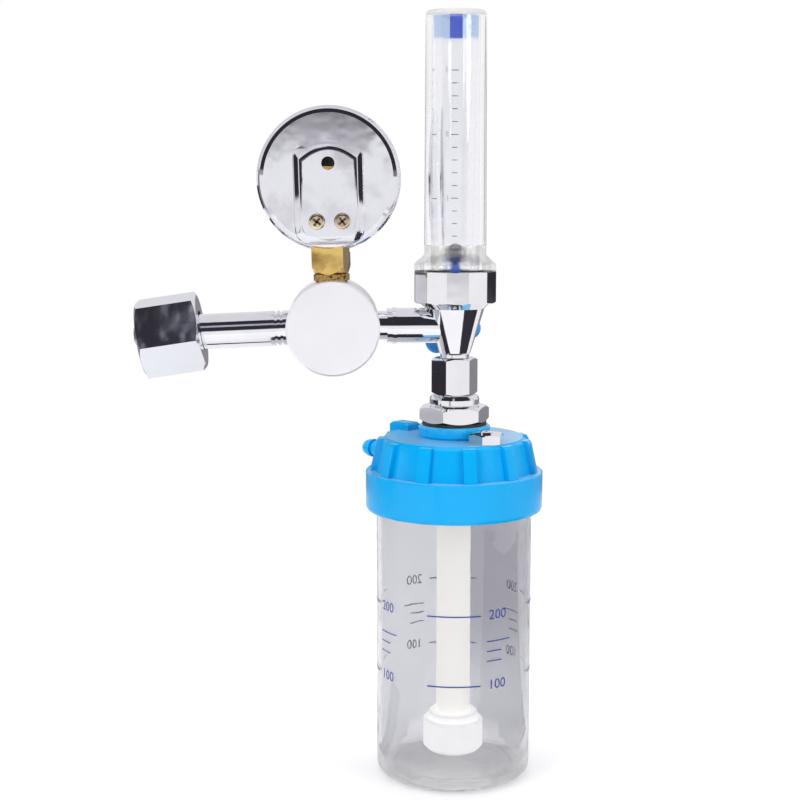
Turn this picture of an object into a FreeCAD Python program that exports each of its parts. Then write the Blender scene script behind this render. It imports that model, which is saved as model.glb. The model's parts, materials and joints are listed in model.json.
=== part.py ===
import FreeCAD, Part
import math
import os
from FreeCAD import Vector

# Oxygen flowmeter with a pressure gauge and a bubble humidifier.
# Millimetres, +Z up along the flow tube, +X from the inlet towards the tube, +Y to the user's side.
# Sizes are given from the tube's axis and the height of the regulator drum's axis.
# The finished pieces are moved so that the origin lies on the inlet nipple.

# Regulator drum
DRUM_X = -51.0
DRUM_R = 19.3
DRUM_BACK_Y = -18.0
DRUM_FRONT_Y = 12.0
DRUM_EDGE = 0.7
DRUM_REACH = 30.0
COVER_DEPTH = 10.0
COVER_WALL = 2.4
SPIGOT_R = 16.4
SPIGOT_LENGTH = 6.0
PISTON_BORE_R = 13.0
PISTON_BORE_FLOOR_Y = 8.5

# Regulator piston
PISTON_THICK = 3.4
PISTON_STROKE = 0.8
STEM_R = 3.0
STEM_BORE_R = 0.9
SEAT_DISC_R = 2.2
SEAT_DISC_THICK = 1.6
NOZZLE_R = 1.9
NOZZLE_BORE_R = 0.9
NOZZLE_HEIGHT = 1.2
STEM_GUIDE = 4.0
SLIDE_GAP = 0.05
PISTON_RING_WIRE_R = 0.8
PISTON_SPRING_R = 8.0
PISTON_SPRING_WIRE_R = 0.7
PISTON_SPRING_TURNS = 2.5

# Inlet
INLET_DROOP = 2.4
INLET_STEM_R = 7.25
INLET_THREAD_R = 6.8
INLET_THREAD_LENGTH = 8.0
INLET_GROOVE_DEPTH = 0.7
INLET_GROOVE_WIDTH = 1.1
INLET_GROOVE_PITCH = 2.3
INLET_GROOVE_START = 20.8
INLET_STEM_START = 17.0
SHOULDER_R = 9.0
SHOULDER_START = 62.3
SHOULDER_LENGTH = 4.2
NOSE_R = 7.0
NOSE_SPHERE_R = 7.6
NOSE_TIP = 83.5
INLET_BORE_R = 2.0
FILTER_R = 3.2
FILTER_LENGTH = 6.0
INLET_MOUNT_AT = 72.5

# Inlet nut, loose on the nipple
NUT_AF = 30.0
NUT_LENGTH = 25.5
NUT_CENTRE = 67.5
NUT_SAG = 0.8
NUT_TILT = 6.0
NUT_PHASE = 21.5
NUT_THREAD_R = 10.3
NUT_REAR_HOLE_R = 8.35
NUT_REAR_WALL = 6.0
NUT_CHAMFER_ANGLE = 28.0

# Pressure gauge
GAUGE_LEAN = 1.4
GAUGE_HEIGHT = 61.0
GAUGE_BACK_Y = -11.5
GAUGE_CASE_R = 28.6
GAUGE_CASE_WALL = 0.8
GAUGE_CASE_FRONT_Y = 9.6
GAUGE_CASE_EDGE = 2.2
PANEL_W = 27.4
PANEL_TOP = 15.5
PANEL_BOTTOM = -26.4
PANEL_RAISE = 2.0
PANEL_TOP_ARCH = 3.4
PANEL_SLOPE = 1.8
BLOWOUT_R = 2.7
BLOWOUT_UP = 6.0
BEZEL_R = 30.1
BEZEL_BACK_Y = 4.0
BEZEL_FRONT_Y = 14.0
BEZEL_LIP = 2.6
BEZEL_WALL = 1.2
LENS_THICK = 1.8
DIAL_THICK = 0.5
DIAL_Y = 6.7
DIAL_R = 26.6

# Gauge socket and its thread in the drum
SHANK_SIDE = 13.4
SHANK_TURN = 13.0
SHANK_BOTTOM = 21.6
SOCKET_BLOCK_DROP = 21.7
SHANK_TAPER = 2.2
SOCKET_THREAD_R = 6.6
SOCKET_THREAD_LENGTH = 8.0
SOCKET_BLOCK_W = 15.0
SOCKET_BLOCK_FRONT_Y = -0.8
SOCKET_BLOCK_HEIGHT = 9.7
SOCKET_BORE_R = 1.5
TAPE_R = 7.5
SCREW_SPACING = 10.3
SCREW_ABOVE_BLOCK = 4.3
SCREW_HEAD_R = 3.35
SCREW_HEAD_HEIGHT = 2.0
SCREW_R = 1.5
SCREW_LENGTH = 7.0

# Gauge movement
GEAR_MODULE = 0.25
PINION_TEETH = 12
SECTOR_TEETH_FULL = 96
SECTOR_TEETH = 15
SECTOR_THICK = 1.2
SECTOR_Y = 1.6
SECTOR_HUB_R = 2.2
SECTOR_TAIL = 9.0
TAIL_ANGLE = 200.0
DIAL_POST_X = 6.6
DIAL_POST_Z = -11.0
ARBOR_R = 0.7
ARBOR_GAP = 0.05
PLATE_THICK = 1.0
PLATE_W = 17.0
PLATE_BACK_Y = -0.8
PLATE_FRONT_Y = 5.0
PILLAR_R = 1.4
TUBE_ARC_R = 20.5
TUBE_ARC_START = -70.0
TUBE_ARC_END = 188.0
TUBE_SECTION_W = 7.0
TUBE_SECTION_T = 2.6
TUBE_Y = -5.6
LINK_THICK = 0.6
LINK_W = 2.4
POINTER_Y = 8.3
POINTER_THICK = 0.4
POINTER_LENGTH = 19.0
POINTER_TAIL = 6.0
POINTER_REST = 225.0

# Outlet connector and flowmeter body
CONNECTOR_NECK_R = 6.1
CONNECTOR_RING_R = 7.2
CONNECTOR_RING_X = -28.4
ARM_END_X = -26.2
ARM_R = 7.35
ARM_RING_R = 7.6
ARM_RING_LENGTH = 1.8
CONNECTOR_THREAD_R = 5.4
CONNECTOR_THREAD_LENGTH = 8.0
CONNECTOR_BORE_R = 2.2
COLLAR_SIDES = 12
COLLAR_R = 17.4
COLLAR_BOTTOM = 9.5
COLLAR_TOP = 22.7
COLLAR_STEP_R = 14.6
COLLAR_STEP = 2.2
CONE_TOP_R = 12.4
CONE_BOTTOM_R = 6.6
CONE_BOTTOM = -11.4
NECK_R = 6.1
NECK_BOTTOM = -13.4
SOCKET_R = 12.4
SOCKET_FLOOR = 12.2

# Needle valve on the user's side
VALVE_Z = -4.0
VALVE_BOSS_R = 7.3
VALVE_BOSS_Y = 15.0
BONNET_AF = 13.0
BONNET_LENGTH = 4.0
BONNET_THREAD_R = 5.0
BONNET_THREAD_LENGTH = 6.0
SPINDLE_R = 2.2
SPINDLE_NEEDLE_R = 1.1
SPINDLE_SEAT_Y = 1.0
SPINDLE_RING_THICK = 1.6
SPINDLE_RING_R = 3.4
SPINDLE_GROOVE_R = 1.5
KNOB_SCREW_R = 1.25
VALVE_PITCH = 0.8
VALVE_TURNS = 2.5
KNOB_LOBES = 5
KNOB_R = 13.0
KNOB_LOBE_R = 4.4
KNOB_BACK_Y = 21.5
KNOB_DEPTH = 11.0
KNOB_ROOF = 2.5
KNOB_FIRST_LOBE = 5.0

# Flow tube
COVER_TUBE_TOP_R = 12.5
COVER_TUBE_BOTTOM_R = 12.95
COVER_TUBE_BORE_R = 10.3
COVER_TUBE_TOP = 128.6
COVER_TUBE_ROOF = 2.4
COVER_FLANGE = 3.0
COVER_SHOULDER = 3.7
METERING_R = 10.0
METERING_BOTTOM = 16.0
METERING_BORE_BOTTOM_R = 4.7
METERING_BORE_TOP_R = 6.0
PLUG_HEIGHT = 8.5
PLUG_TAPER = 0.5
BALL_R = 4.4
SEAT_POST_R = 4.5
SEAT_NOZZLE_R = 2.2
SEAT_NOZZLE_HEIGHT = 3.6
SEAT_HOLE_R = 1.5
SEAT_TOP = 25.6
SEAT_FLANGE = 1.8
FIT_GAP = 0.1

# Coupling and the fitting through the lid
COUPLING_AF = 17.0
COUPLING_TOP = -13.6
COUPLING_BOTTOM = -28.9
COUPLING_PHASE = 5.0
COUPLING_HOLE_R = 5.3
COUPLING_ROOF = 3.6
COUPLING_THREAD_R = 6.6
TAIL_R = 5.1
TAIL_THREAD_R = 4.4
TAIL_THREAD_LENGTH = 5.5
TAIL_FLANGE_R = 6.3
TAIL_FLANGE = 2.0
TAIL_BORE_R = 2.0
WASHER_THICK = 1.0
LID_WASHER_THICK = 1.2
FITTING_DOME_R = 10.45
FITTING_DOME_TOP = -29.2
FITTING_HEX_AF = 26.0
FITTING_HEX_TOP = -33.8
FITTING_HEX_BOTTOM = -40.6
FITTING_PHASE = 7.9
FITTING_SHANK_R = 7.8
FITTING_BORE_R = 2.5
FITTING_SPIGOT_R = 5.5
FITTING_SPIGOT_LENGTH = 12.0
LOCK_NUT_AF = 21.0
LOCK_NUT_THICK = 4.0

# Humidifier lid
LID_BOSS_R = 15.2
LID_PLATE_TOP = -46.9
LID_PLATE_THICK = 3.0
LID_PLATE_R = 30.4
LID_RIB_TOP_R = 32.9
LID_RIB_BOTTOM_R = 35.6
LID_RIM_R = 37.5
LID_RIM_TOP = -61.3
LID_RIM_BOTTOM = -78.0
LID_RIM_EDGE = 1.6
LID_POCKET_DEPTH = 2.2
LID_RIB_W = 5.4
LID_RIBS = 11
LID_FIRST_RIB = 7.0
LID_SKIRT_R = 34.0
LID_SKIRT_TOP = -64.0
LID_THREAD_R = 29.8
NOZZLE_TURN = 135.0
NOZZLE_Z = -57.7
NOZZLE_TIP_AT = 51.5
HOSE_BARB_R = 4.0
HOSE_ROOT_R = 3.1
HOSE_BARB_LENGTH = 5.0
HOSE_BARB_LAND = 1.6
HOSE_BARBS = 3
HOSE_BORE_R = 1.8
DUCT_W = 8.0
DUCT_TOP = -43.8
DUCT_IN_AT = 23.0
DUCT_OUT_AT = 33.8
DUCT_BORE_R = 1.2

# Relief valve in the lid
RELIEF_X = 11.9
RELIEF_Y = -19.2
RELIEF_AF = 13.0
RELIEF_HEAD = 4.0
RELIEF_TURN = 12.0
RELIEF_THREAD_R = 3.0
RELIEF_THREAD_LENGTH = 7.0
RELIEF_BORE_R = 2.0
RELIEF_VENT_R = 0.7
RELIEF_BOSS_R = 4.2
RELIEF_FLOOR = 1.6
RELIEF_HOLE_R = 1.0
RELIEF_POPPET_R = 1.8
RELIEF_POPPET_THICK = 1.6
RELIEF_SPRING_R = 1.4
RELIEF_SPRING_WIRE_R = 0.25
RELIEF_SPRING_TURNS = 4

# Humidifier bottle, dip tube and diffuser
BOTTLE_R = 33.0
BOTTLE_WALL = 1.8
BOTTLE_BOTTOM = -193.0
BOTTLE_SHOULDER_Z = -66.0
BOTTLE_NECK_R = 29.4
BOTTLE_NECK_WALL = 2.2
BOTTLE_FOOT_R = 4.0
BOTTLE_KICK = 2.2
BOTTLE_KICK_R = 24.0
GASKET_THICK = 1.8
GASKET_INNER_R = 27.0
DIP_R = 7.25
DIP_BORE_R = 5.5
DIP_BOTTOM = -176.0
DIFFUSER_R = 12.9
DIFFUSER_TOP = -167.0
DIFFUSER_BOTTOM = -184.0
DIFFUSER_SHOULDER_R = 10.6
DIFFUSER_SHOULDER = 3.0
DIFFUSER_WALL = 1.6
DIFFUSER_HOLES = 10
DIFFUSER_HOLE_R = 0.9

# Wire of the springs and ring seals
WIRE_SIDES = 8

# Values worked out from the sizes above
DRUM_CENTRE = (DRUM_X, 0.0, 0.0)
DROOP = math.radians(INLET_DROOP)
INLET_DIRECTION = (-math.cos(DROOP), 0.0, -math.sin(DROOP))
GAUGE_DIRECTION = (-math.sin(math.radians(GAUGE_LEAN)), 0.0, math.cos(math.radians(GAUGE_LEAN)))
NUT_POINT = (DRUM_X + NUT_CENTRE * INLET_DIRECTION[0] + NUT_SAG * math.sin(DROOP), 0.0,
             NUT_CENTRE * INLET_DIRECTION[2] - NUT_SAG * math.cos(DROOP))
NUT_SLOPE = math.radians(INLET_DROOP + NUT_TILT)
NUT_DIRECTION = (-math.cos(NUT_SLOPE), 0.0, -math.sin(NUT_SLOPE))
ORIGIN = Vector(DRUM_X + INLET_MOUNT_AT * INLET_DIRECTION[0], 0.0, INLET_MOUNT_AT * INLET_DIRECTION[2])
NOZZLE_TOP_Y = PISTON_BORE_FLOOR_Y - STEM_GUIDE
STEM_TIP_Y = NOZZLE_TOP_Y + PISTON_STROKE + SLIDE_GAP
PISTON_FACE_Y = DRUM_FRONT_Y + SPIGOT_LENGTH - 0.4
PANEL_Y = GAUGE_BACK_Y - PANEL_RAISE
SOCKET_BLOCK_BOTTOM = GAUGE_HEIGHT - SOCKET_BLOCK_DROP
SOCKET_BLOCK_TOP = SOCKET_BLOCK_BOTTOM + SOCKET_BLOCK_HEIGHT
SHANK_TOP = SOCKET_BLOCK_BOTTOM + 0.5
SCREW_UP = SOCKET_BLOCK_BOTTOM + SCREW_ABOVE_BLOCK
SHANK_CORNER_R = SHANK_SIDE / math.sqrt(2)
SHANK_PHASE = 45.0 - SHANK_TURN
SCREW_XS = (-SCREW_SPACING / 2, SCREW_SPACING / 2)
LENS_SIGHT_R = BEZEL_R - BEZEL_WALL - BEZEL_LIP
SECTOR_PIVOT_Z = -GEAR_MODULE * (SECTOR_TEETH_FULL + PINION_TEETH) / 2
TAIL_X = SECTOR_TAIL * math.cos(math.radians(TAIL_ANGLE))
TAIL_Z = SECTOR_TAIL * math.sin(math.radians(TAIL_ANGLE))
TIP_X = TUBE_ARC_R * math.cos(math.radians(TUBE_ARC_END + 3.0))
TIP_Z = TUBE_ARC_R * math.sin(math.radians(TUBE_ARC_END + 3.0)) - SECTOR_PIVOT_Z
CONNECTOR_START_X = DRUM_X + DRUM_R - 1.5
CONNECTOR_STOP_X = ARM_END_X + CONNECTOR_THREAD_LENGTH
COLLAR_FLAT_R = COLLAR_R * math.cos(math.pi / COLLAR_SIDES)
BONNET_INNER_Y = VALVE_BOSS_Y - BONNET_THREAD_LENGTH
SPINDLE_RING_Y = BONNET_INNER_Y + 0.1
VALVE_LIFT = VALVE_PITCH * VALVE_TURNS
METERING_TOP = COVER_TUBE_TOP - COVER_TUBE_ROOF - FIT_GAP
BALL_Z = SEAT_TOP + math.sqrt(BALL_R ** 2 - SEAT_HOLE_R ** 2) + SLIDE_GAP
TAIL_FLANGE_Z = COUPLING_TOP - COUPLING_ROOF - FIT_GAP
LID_BOSS_TOP = FITTING_HEX_BOTTOM - LID_WASHER_THICK
LID_UNDERSIDE = LID_PLATE_TOP - LID_PLATE_THICK
FITTING_SHANK_BOTTOM = LID_UNDERSIDE - LOCK_NUT_THICK - 2.0
RELIEF_BOSS_LOW = LID_PLATE_TOP - RELIEF_THREAD_LENGTH - RELIEF_POPPET_THICK - RELIEF_FLOOR - 0.4
RELIEF_SEAT_Z = RELIEF_BOSS_LOW + RELIEF_FLOOR + 0.02
RELIEF_ROOF_Z = LID_PLATE_TOP + RELIEF_HEAD - 1.6
BOTTLE_LIP_Z = LID_UNDERSIDE - GASKET_THICK - SLIDE_GAP

X_AXIS = Vector(1, 0, 0)
Y_AXIS = Vector(0, 1, 0)
Z_AXIS = Vector(0, 0, 1)


def moved(shape, x=0.0, y=0.0, z=0.0):
    """A copy of the shape, shifted."""
    copy = shape.copy()
    copy.translate(Vector(x, y, z))
    return copy


def turned_about(shape, point, axis, degrees):
    """A copy of the shape, turned about an axis through a point."""
    copy = shape.copy()
    copy.rotate(Vector(*point), Vector(*axis), degrees)
    return copy


def aimed(shape, direction, start=(0.0, 0.0, 0.0)):
    """A shape made along +Z, turned to point along a direction and put at a start point."""
    copy = shape.copy()
    turn = FreeCAD.Rotation(Z_AXIS, Vector(*direction))
    copy.Placement = FreeCAD.Placement(Vector(*start), turn).multiply(copy.Placement)
    return copy


def rod(radius, z0, z1, x=0.0, y=0.0):
    """A cylinder along Z between two heights."""
    return Part.makeCylinder(radius, z1 - z0, Vector(x, y, z0))


def ring(outer, inner, z0, z1):
    """A plain ring along Z between two heights."""
    return rod(outer, z0, z1).cut(rod(inner, z0 - 1, z1 + 1))


def lathe(outline):
    """A solid turned about Z from a closed outline of (radius, height) points."""
    points = [Vector(r, 0, z) for r, z in outline]
    face = Part.Face(Part.makePolygon(points + [points[0]]))
    return face.revolve(Vector(0, 0, 0), Z_AXIS, 360)


def prism(sides, circumradius, z0, z1, phase=0.0):
    """A regular prism along Z, with one corner at the phase angle from +X."""
    corners = []
    for i in range(sides):
        a = math.radians(phase + 360.0 * i / sides)
        corners.append(Vector(circumradius * math.cos(a), circumradius * math.sin(a), z0))
    face = Part.Face(Part.makePolygon(corners + [corners[0]]))
    return face.extrude(Vector(0, 0, z1 - z0))


def box(x0, x1, y0, y1, z0, z1):
    """A block between two corners."""
    return Part.makeBox(x1 - x0, y1 - y0, z1 - z0, Vector(x0, y0, z0))


def hexagon(across_flats, z0, z1, phase=0.0, top=True, bottom=True, angle=30.0):
    """A hexagon along Z with turned chamfers on its ends."""
    corner_r = across_flats / math.sqrt(3)
    flat_r = across_flats / 2 * 0.985
    drop = (corner_r - flat_r) * math.tan(math.radians(angle))
    body = prism(6, corner_r, z0, z1, phase)
    wide = corner_r + 1
    fall = (wide - flat_r) * math.tan(math.radians(angle))
    outline = [(0, z0), (flat_r if bottom else wide, z0)]
    if bottom:
        outline.append((wide, z0 + fall))
    if top:
        outline.append((wide, z1 - fall))
    outline += [(flat_r if top else wide, z1), (0, z1)]
    return body.common(lathe(outline)) if drop > 0 else body


def wire_section(radius, wire_r, z=0.0):
    """The eight-sided section of a round wire, at a radius from Z."""
    points = []
    for i in range(WIRE_SIDES + 1):
        a = 2 * math.pi * (i + 0.5) / WIRE_SIDES
        points.append(Vector(radius + wire_r * math.cos(a), 0, z + wire_r * math.sin(a)))
    return Part.makePolygon(points)


def torus(radius, wire_r, z):
    """A ring seal about Z."""
    return Part.Face(wire_section(radius, wire_r, z)).revolve(Vector(0, 0, 0), Z_AXIS, 360)


def coil(radius, wire_r, z0, z1, turns):
    """A compression spring about Z that just fills the height."""
    low = z0 + wire_r
    high = z1 - wire_r
    helix = Part.makeHelix((high - low) / turns, high - low, radius)
    spring = Part.Wire(helix.Edges).makePipeShell([wire_section(radius, wire_r)], True, True)
    return moved(spring, z=low)


def across(shape, y, x=0.0, z=0.0):
    """A shape made along +Z, laid so that its height runs along +Y from y."""
    return aimed(shape, (0, 1, 0), (x, y, z))


# Regulator drum and its inner pieces, made along +Y

def make_regulator_body():
    """The turned brass block with the ports and the piston bore."""
    depth = DRUM_FRONT_Y - DRUM_BACK_Y
    block = rod(DRUM_R, 0, depth)
    block = block.makeChamfer(DRUM_EDGE, [e for e in block.Edges if len(e.Vertexes) == 1])
    spigot = rod(SPIGOT_R, depth - 1, depth + SPIGOT_LENGTH)
    bore_floor = PISTON_BORE_FLOOR_Y - DRUM_BACK_Y
    block = block.fuse(spigot).cut(rod(PISTON_BORE_R, bore_floor, depth + SPIGOT_LENGTH + 1))
    stem_floor = bore_floor - STEM_GUIDE
    block = block.cut(rod(STEM_R + SLIDE_GAP, stem_floor, bore_floor + 1))
    well_r = NOZZLE_R + 0.9
    block = block.cut(rod(well_r, stem_floor - NOZZLE_HEIGHT, stem_floor + 0.1))
    nozzle = rod(NOZZLE_R, stem_floor - NOZZLE_HEIGHT - 0.5, stem_floor)
    block = block.fuse(nozzle)
    centre = -DRUM_BACK_Y
    block = block.cut(rod(NOZZLE_BORE_R, centre, stem_floor + 1))
    body = across(block, DRUM_BACK_Y, DRUM_X)
    port = rod(INLET_THREAD_R, DRUM_R - INLET_THREAD_LENGTH, DRUM_R + 2)
    port = port.fuse(rod(INLET_BORE_R, 0, DRUM_R))
    body = body.cut(aimed(port, INLET_DIRECTION, DRUM_CENTRE))
    port = rod(SOCKET_THREAD_R, DRUM_R - SOCKET_THREAD_LENGTH, DRUM_R + 2)
    port = port.fuse(rod(SOCKET_BORE_R, 0, DRUM_R))
    body = body.cut(aimed(port, GAUGE_DIRECTION, DRUM_CENTRE))
    port = rod(CONNECTOR_THREAD_R, DRUM_R - CONNECTOR_THREAD_LENGTH, DRUM_R + 2)
    body = body.cut(aimed(port, (1, 0, 0), DRUM_CENTRE))
    outlet_x = DRUM_X + DRUM_R - CONNECTOR_THREAD_LENGTH
    riser = rod(1.2, 0, PISTON_BORE_FLOOR_Y + 1)
    return body.cut(across(riser, 0, outlet_x + 0.2))


def make_regulator_cover():
    """The screwed cap over the piston."""
    inner = SPIGOT_R + SLIDE_GAP
    roof = COVER_DEPTH - COVER_WALL
    cap = rod(DRUM_R, 0, COVER_DEPTH)
    cap = cap.makeChamfer(DRUM_EDGE, [e for e in cap.Edges if len(e.Vertexes) == 1])
    cap = cap.cut(rod(inner, -1, SPIGOT_LENGTH)).cut(rod(PISTON_BORE_R, 0, roof))
    cap = cap.fuse(ring(6.0, 3.0, PISTON_FACE_Y + SLIDE_GAP - DRUM_FRONT_Y, roof + 0.5))
    return across(cap, DRUM_FRONT_Y, DRUM_X)


def make_regulator_piston():
    """The hollow piston with a groove for its ring seal."""
    face_y = PISTON_FACE_Y
    start = STEM_TIP_Y
    head = rod(PISTON_BORE_R - SLIDE_GAP, face_y - PISTON_THICK - start, face_y - start)
    groove_z = face_y - PISTON_THICK / 2 - start
    groove_depth = 2 * PISTON_RING_WIRE_R
    groove = ring(PISTON_BORE_R + 1, PISTON_BORE_R - SLIDE_GAP - groove_depth,
                  groove_z - PISTON_RING_WIRE_R, groove_z + PISTON_RING_WIRE_R)
    stem = rod(STEM_R, 0, face_y - PISTON_THICK - start + 1)
    pocket = rod(SEAT_DISC_R, -1, SEAT_DISC_THICK)
    piston = head.cut(groove).fuse(stem).cut(pocket)
    return across(piston.cut(rod(STEM_BORE_R, -1, 40)), start, DRUM_X)


def make_seat_disc():
    """The soft seat pressed into the end of the piston's stem."""
    disc = rod(SEAT_DISC_R, 0, SEAT_DISC_THICK)
    return across(disc, STEM_TIP_Y, DRUM_X)


def make_piston_ring():
    """The ring seal in the piston's groove."""
    groove_y = PISTON_FACE_Y - PISTON_THICK / 2
    seal = torus(PISTON_BORE_R - SLIDE_GAP - PISTON_RING_WIRE_R, PISTON_RING_WIRE_R, 0)
    return across(seal, groove_y, DRUM_X)


def make_piston_spring():
    """The spring that holds the piston off its seat."""
    height = PISTON_FACE_Y - PISTON_THICK - PISTON_BORE_FLOOR_Y
    spring = coil(PISTON_SPRING_R, PISTON_SPRING_WIRE_R, 0, height, PISTON_SPRING_TURNS)
    return across(spring, PISTON_BORE_FLOOR_Y, DRUM_X)


def drum_round(z=0.0):
    """The drum's round side, longer than the drum, to cut what ends on it."""
    return Part.makeCylinder(DRUM_R, 2 * DRUM_REACH, Vector(0, -DRUM_REACH, z), Y_AXIS)


# Inlet, made along +Z from the drum's centre

def make_inlet_stem():
    """The turned nipple with its thread, grooves, shoulder and round nose."""
    sphere_z = NOSE_TIP - NOSE_SPHERE_R
    tail = rod(INLET_THREAD_R, DRUM_R - INLET_THREAD_LENGTH, DRUM_R + 0.5)
    stem = rod(INLET_STEM_R, INLET_STEM_START, SHOULDER_START + 1)
    for i in range(2):
        z = INLET_GROOVE_START + i * INLET_GROOVE_PITCH
        stem = stem.cut(ring(INLET_STEM_R + 1, INLET_STEM_R - INLET_GROOVE_DEPTH, z, z + INLET_GROOVE_WIDTH))
    shoulder_end = SHOULDER_START + SHOULDER_LENGTH
    shoulder = lathe([(0, SHOULDER_START), (SHOULDER_R - 0.6, SHOULDER_START), (SHOULDER_R, SHOULDER_START + 0.6),
                      (SHOULDER_R, shoulder_end - 0.6), (SHOULDER_R - 0.6, shoulder_end), (0, shoulder_end)])
    nose = rod(NOSE_R, shoulder_end - 1, NOSE_TIP)
    nose = nose.common(Part.makeSphere(NOSE_SPHERE_R, Vector(0, 0, sphere_z)).fuse(rod(NOSE_R, 0, sphere_z)))
    drum = drum_round()
    nipple = tail.fuse(stem.cut(drum)).fuse(shoulder).fuse(nose)
    nipple = nipple.cut(rod(INLET_BORE_R, 0, NOSE_TIP + 1))
    nipple = nipple.cut(rod(FILTER_R, NOSE_TIP - 1.4 - FILTER_LENGTH, NOSE_TIP + 1))
    return aimed(nipple, INLET_DIRECTION, DRUM_CENTRE)


def make_inlet_filter():
    """The sintered plug in the nose of the nipple."""
    end = NOSE_TIP - 1.4
    plug = rod(FILTER_R, end - FILTER_LENGTH, end)
    return aimed(plug, INLET_DIRECTION, DRUM_CENTRE)


def make_inlet_nut():
    """The loose hexagon nut that draws the nipple into a cylinder valve."""
    half = NUT_LENGTH / 2
    nut = hexagon(NUT_AF, -half, half, NUT_PHASE, angle=NUT_CHAMFER_ANGLE)
    nut = nut.cut(rod(NUT_REAR_HOLE_R, -half - 1, half + 1))
    bore = rod(NUT_THREAD_R, -half + NUT_REAR_WALL, half + 1)
    lead_in = Part.makeCone(NUT_THREAD_R, NUT_THREAD_R + 1.2, 1.2, Vector(0, 0, half - 1.2))
    nut = nut.cut(bore).cut(lead_in)
    return aimed(nut, NUT_DIRECTION, NUT_POINT)


# Pressure gauge, made upright over the drum and leaned at the end

def plate_xz(points, y0, y1, centre=(0.0, 0.0)):
    """A flat plate from an outline of (x, z) points, between two depths."""
    corners = [Vector(centre[0] + x, y0, centre[1] + z) for x, z in points]
    face = Part.Face(Part.makePolygon(corners + [corners[0]]))
    return face.extrude(Vector(0, y1 - y0, 0))


def gauge_rod(radius, y0, y1, x=0.0, z=0.0):
    """A cylinder along Y, placed from the gauge's centre."""
    return Part.makeCylinder(radius, y1 - y0, Vector(DRUM_X + x, y0, GAUGE_HEIGHT + z), Y_AXIS)


def gauge_lathe(outline):
    """A solid turned about the gauge's axis from (radius, y) points."""
    points = [Vector(DRUM_X + r, y, GAUGE_HEIGHT) for r, y in outline]
    face = Part.Face(Part.makePolygon(points + [points[0]]))
    return face.revolve(Vector(DRUM_X, 0, GAUGE_HEIGHT), Y_AXIS, 360)


def leaned(shape):
    """The gauge's lean about the drum's axis."""
    return turned_about(shape, DRUM_CENTRE, (0, 1, 0), -GAUGE_LEAN)


def panel_wire(inset, y):
    """The outline of the raised panel on the case's back, with an arched top and bottom."""
    half = PANEL_W / 2 - inset
    top = GAUGE_HEIGHT + PANEL_TOP - inset
    low = GAUGE_HEIGHT + PANEL_BOTTOM + inset
    a = Vector(DRUM_X - half, y, low + PANEL_TOP_ARCH)
    b = Vector(DRUM_X - half, y, top - PANEL_TOP_ARCH)
    c = Vector(DRUM_X + half, y, top - PANEL_TOP_ARCH)
    d = Vector(DRUM_X + half, y, low + PANEL_TOP_ARCH)
    crown = Part.Arc(b, Vector(DRUM_X, y, top), c).toShape()
    sole = Part.Arc(d, Vector(DRUM_X, y, low), a).toShape()
    return Part.Wire([Part.makeLine(a, b), crown, Part.makeLine(c, d), sole])


def panel_solid(inset, back_y, front_y):
    """The raised panel with its sloping sides."""
    return Part.makeLoft([panel_wire(inset + PANEL_SLOPE, back_y), panel_wire(inset, front_y)], True, True)


def make_gauge_case():
    """The pressed steel cup with its raised back panel."""
    edge = GAUGE_CASE_EDGE
    wall = GAUGE_CASE_WALL
    cup = gauge_lathe([(0, GAUGE_BACK_Y), (GAUGE_CASE_R - edge, GAUGE_BACK_Y),
                       (GAUGE_CASE_R - edge * 0.3, GAUGE_BACK_Y + edge * 0.3),
                       (GAUGE_CASE_R, GAUGE_BACK_Y + edge), (GAUGE_CASE_R, GAUGE_CASE_FRONT_Y),
                       (0, GAUGE_CASE_FRONT_Y)])
    inner_r = GAUGE_CASE_R - wall
    inner = gauge_lathe([(0, GAUGE_BACK_Y + wall), (inner_r - edge, GAUGE_BACK_Y + wall),
                         (inner_r, GAUGE_BACK_Y + wall + edge), (inner_r, GAUGE_CASE_FRONT_Y + 1),
                         (0, GAUGE_CASE_FRONT_Y + 1)])
    panel = panel_solid(0, PANEL_Y, GAUGE_BACK_Y + wall / 2)
    pocket = panel_solid(wall, PANEL_Y + wall, GAUGE_BACK_Y + wall + 0.1)
    case = cup.fuse(panel).cut(inner).cut(pocket)
    case = case.cut(gauge_rod(BLOWOUT_R, PANEL_Y - 1, 0, z=BLOWOUT_UP))
    shank = prism(4, SHANK_CORNER_R + FIT_GAP, SHANK_BOTTOM, SHANK_TOP + 1, SHANK_PHASE)
    case = case.cut(moved(shank, DRUM_X))
    for x in SCREW_XS:
        case = case.cut(gauge_rod(SCREW_R, PANEL_Y - 1, 0, x, SCREW_UP - GAUGE_HEIGHT))
    return leaned(case)


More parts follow.
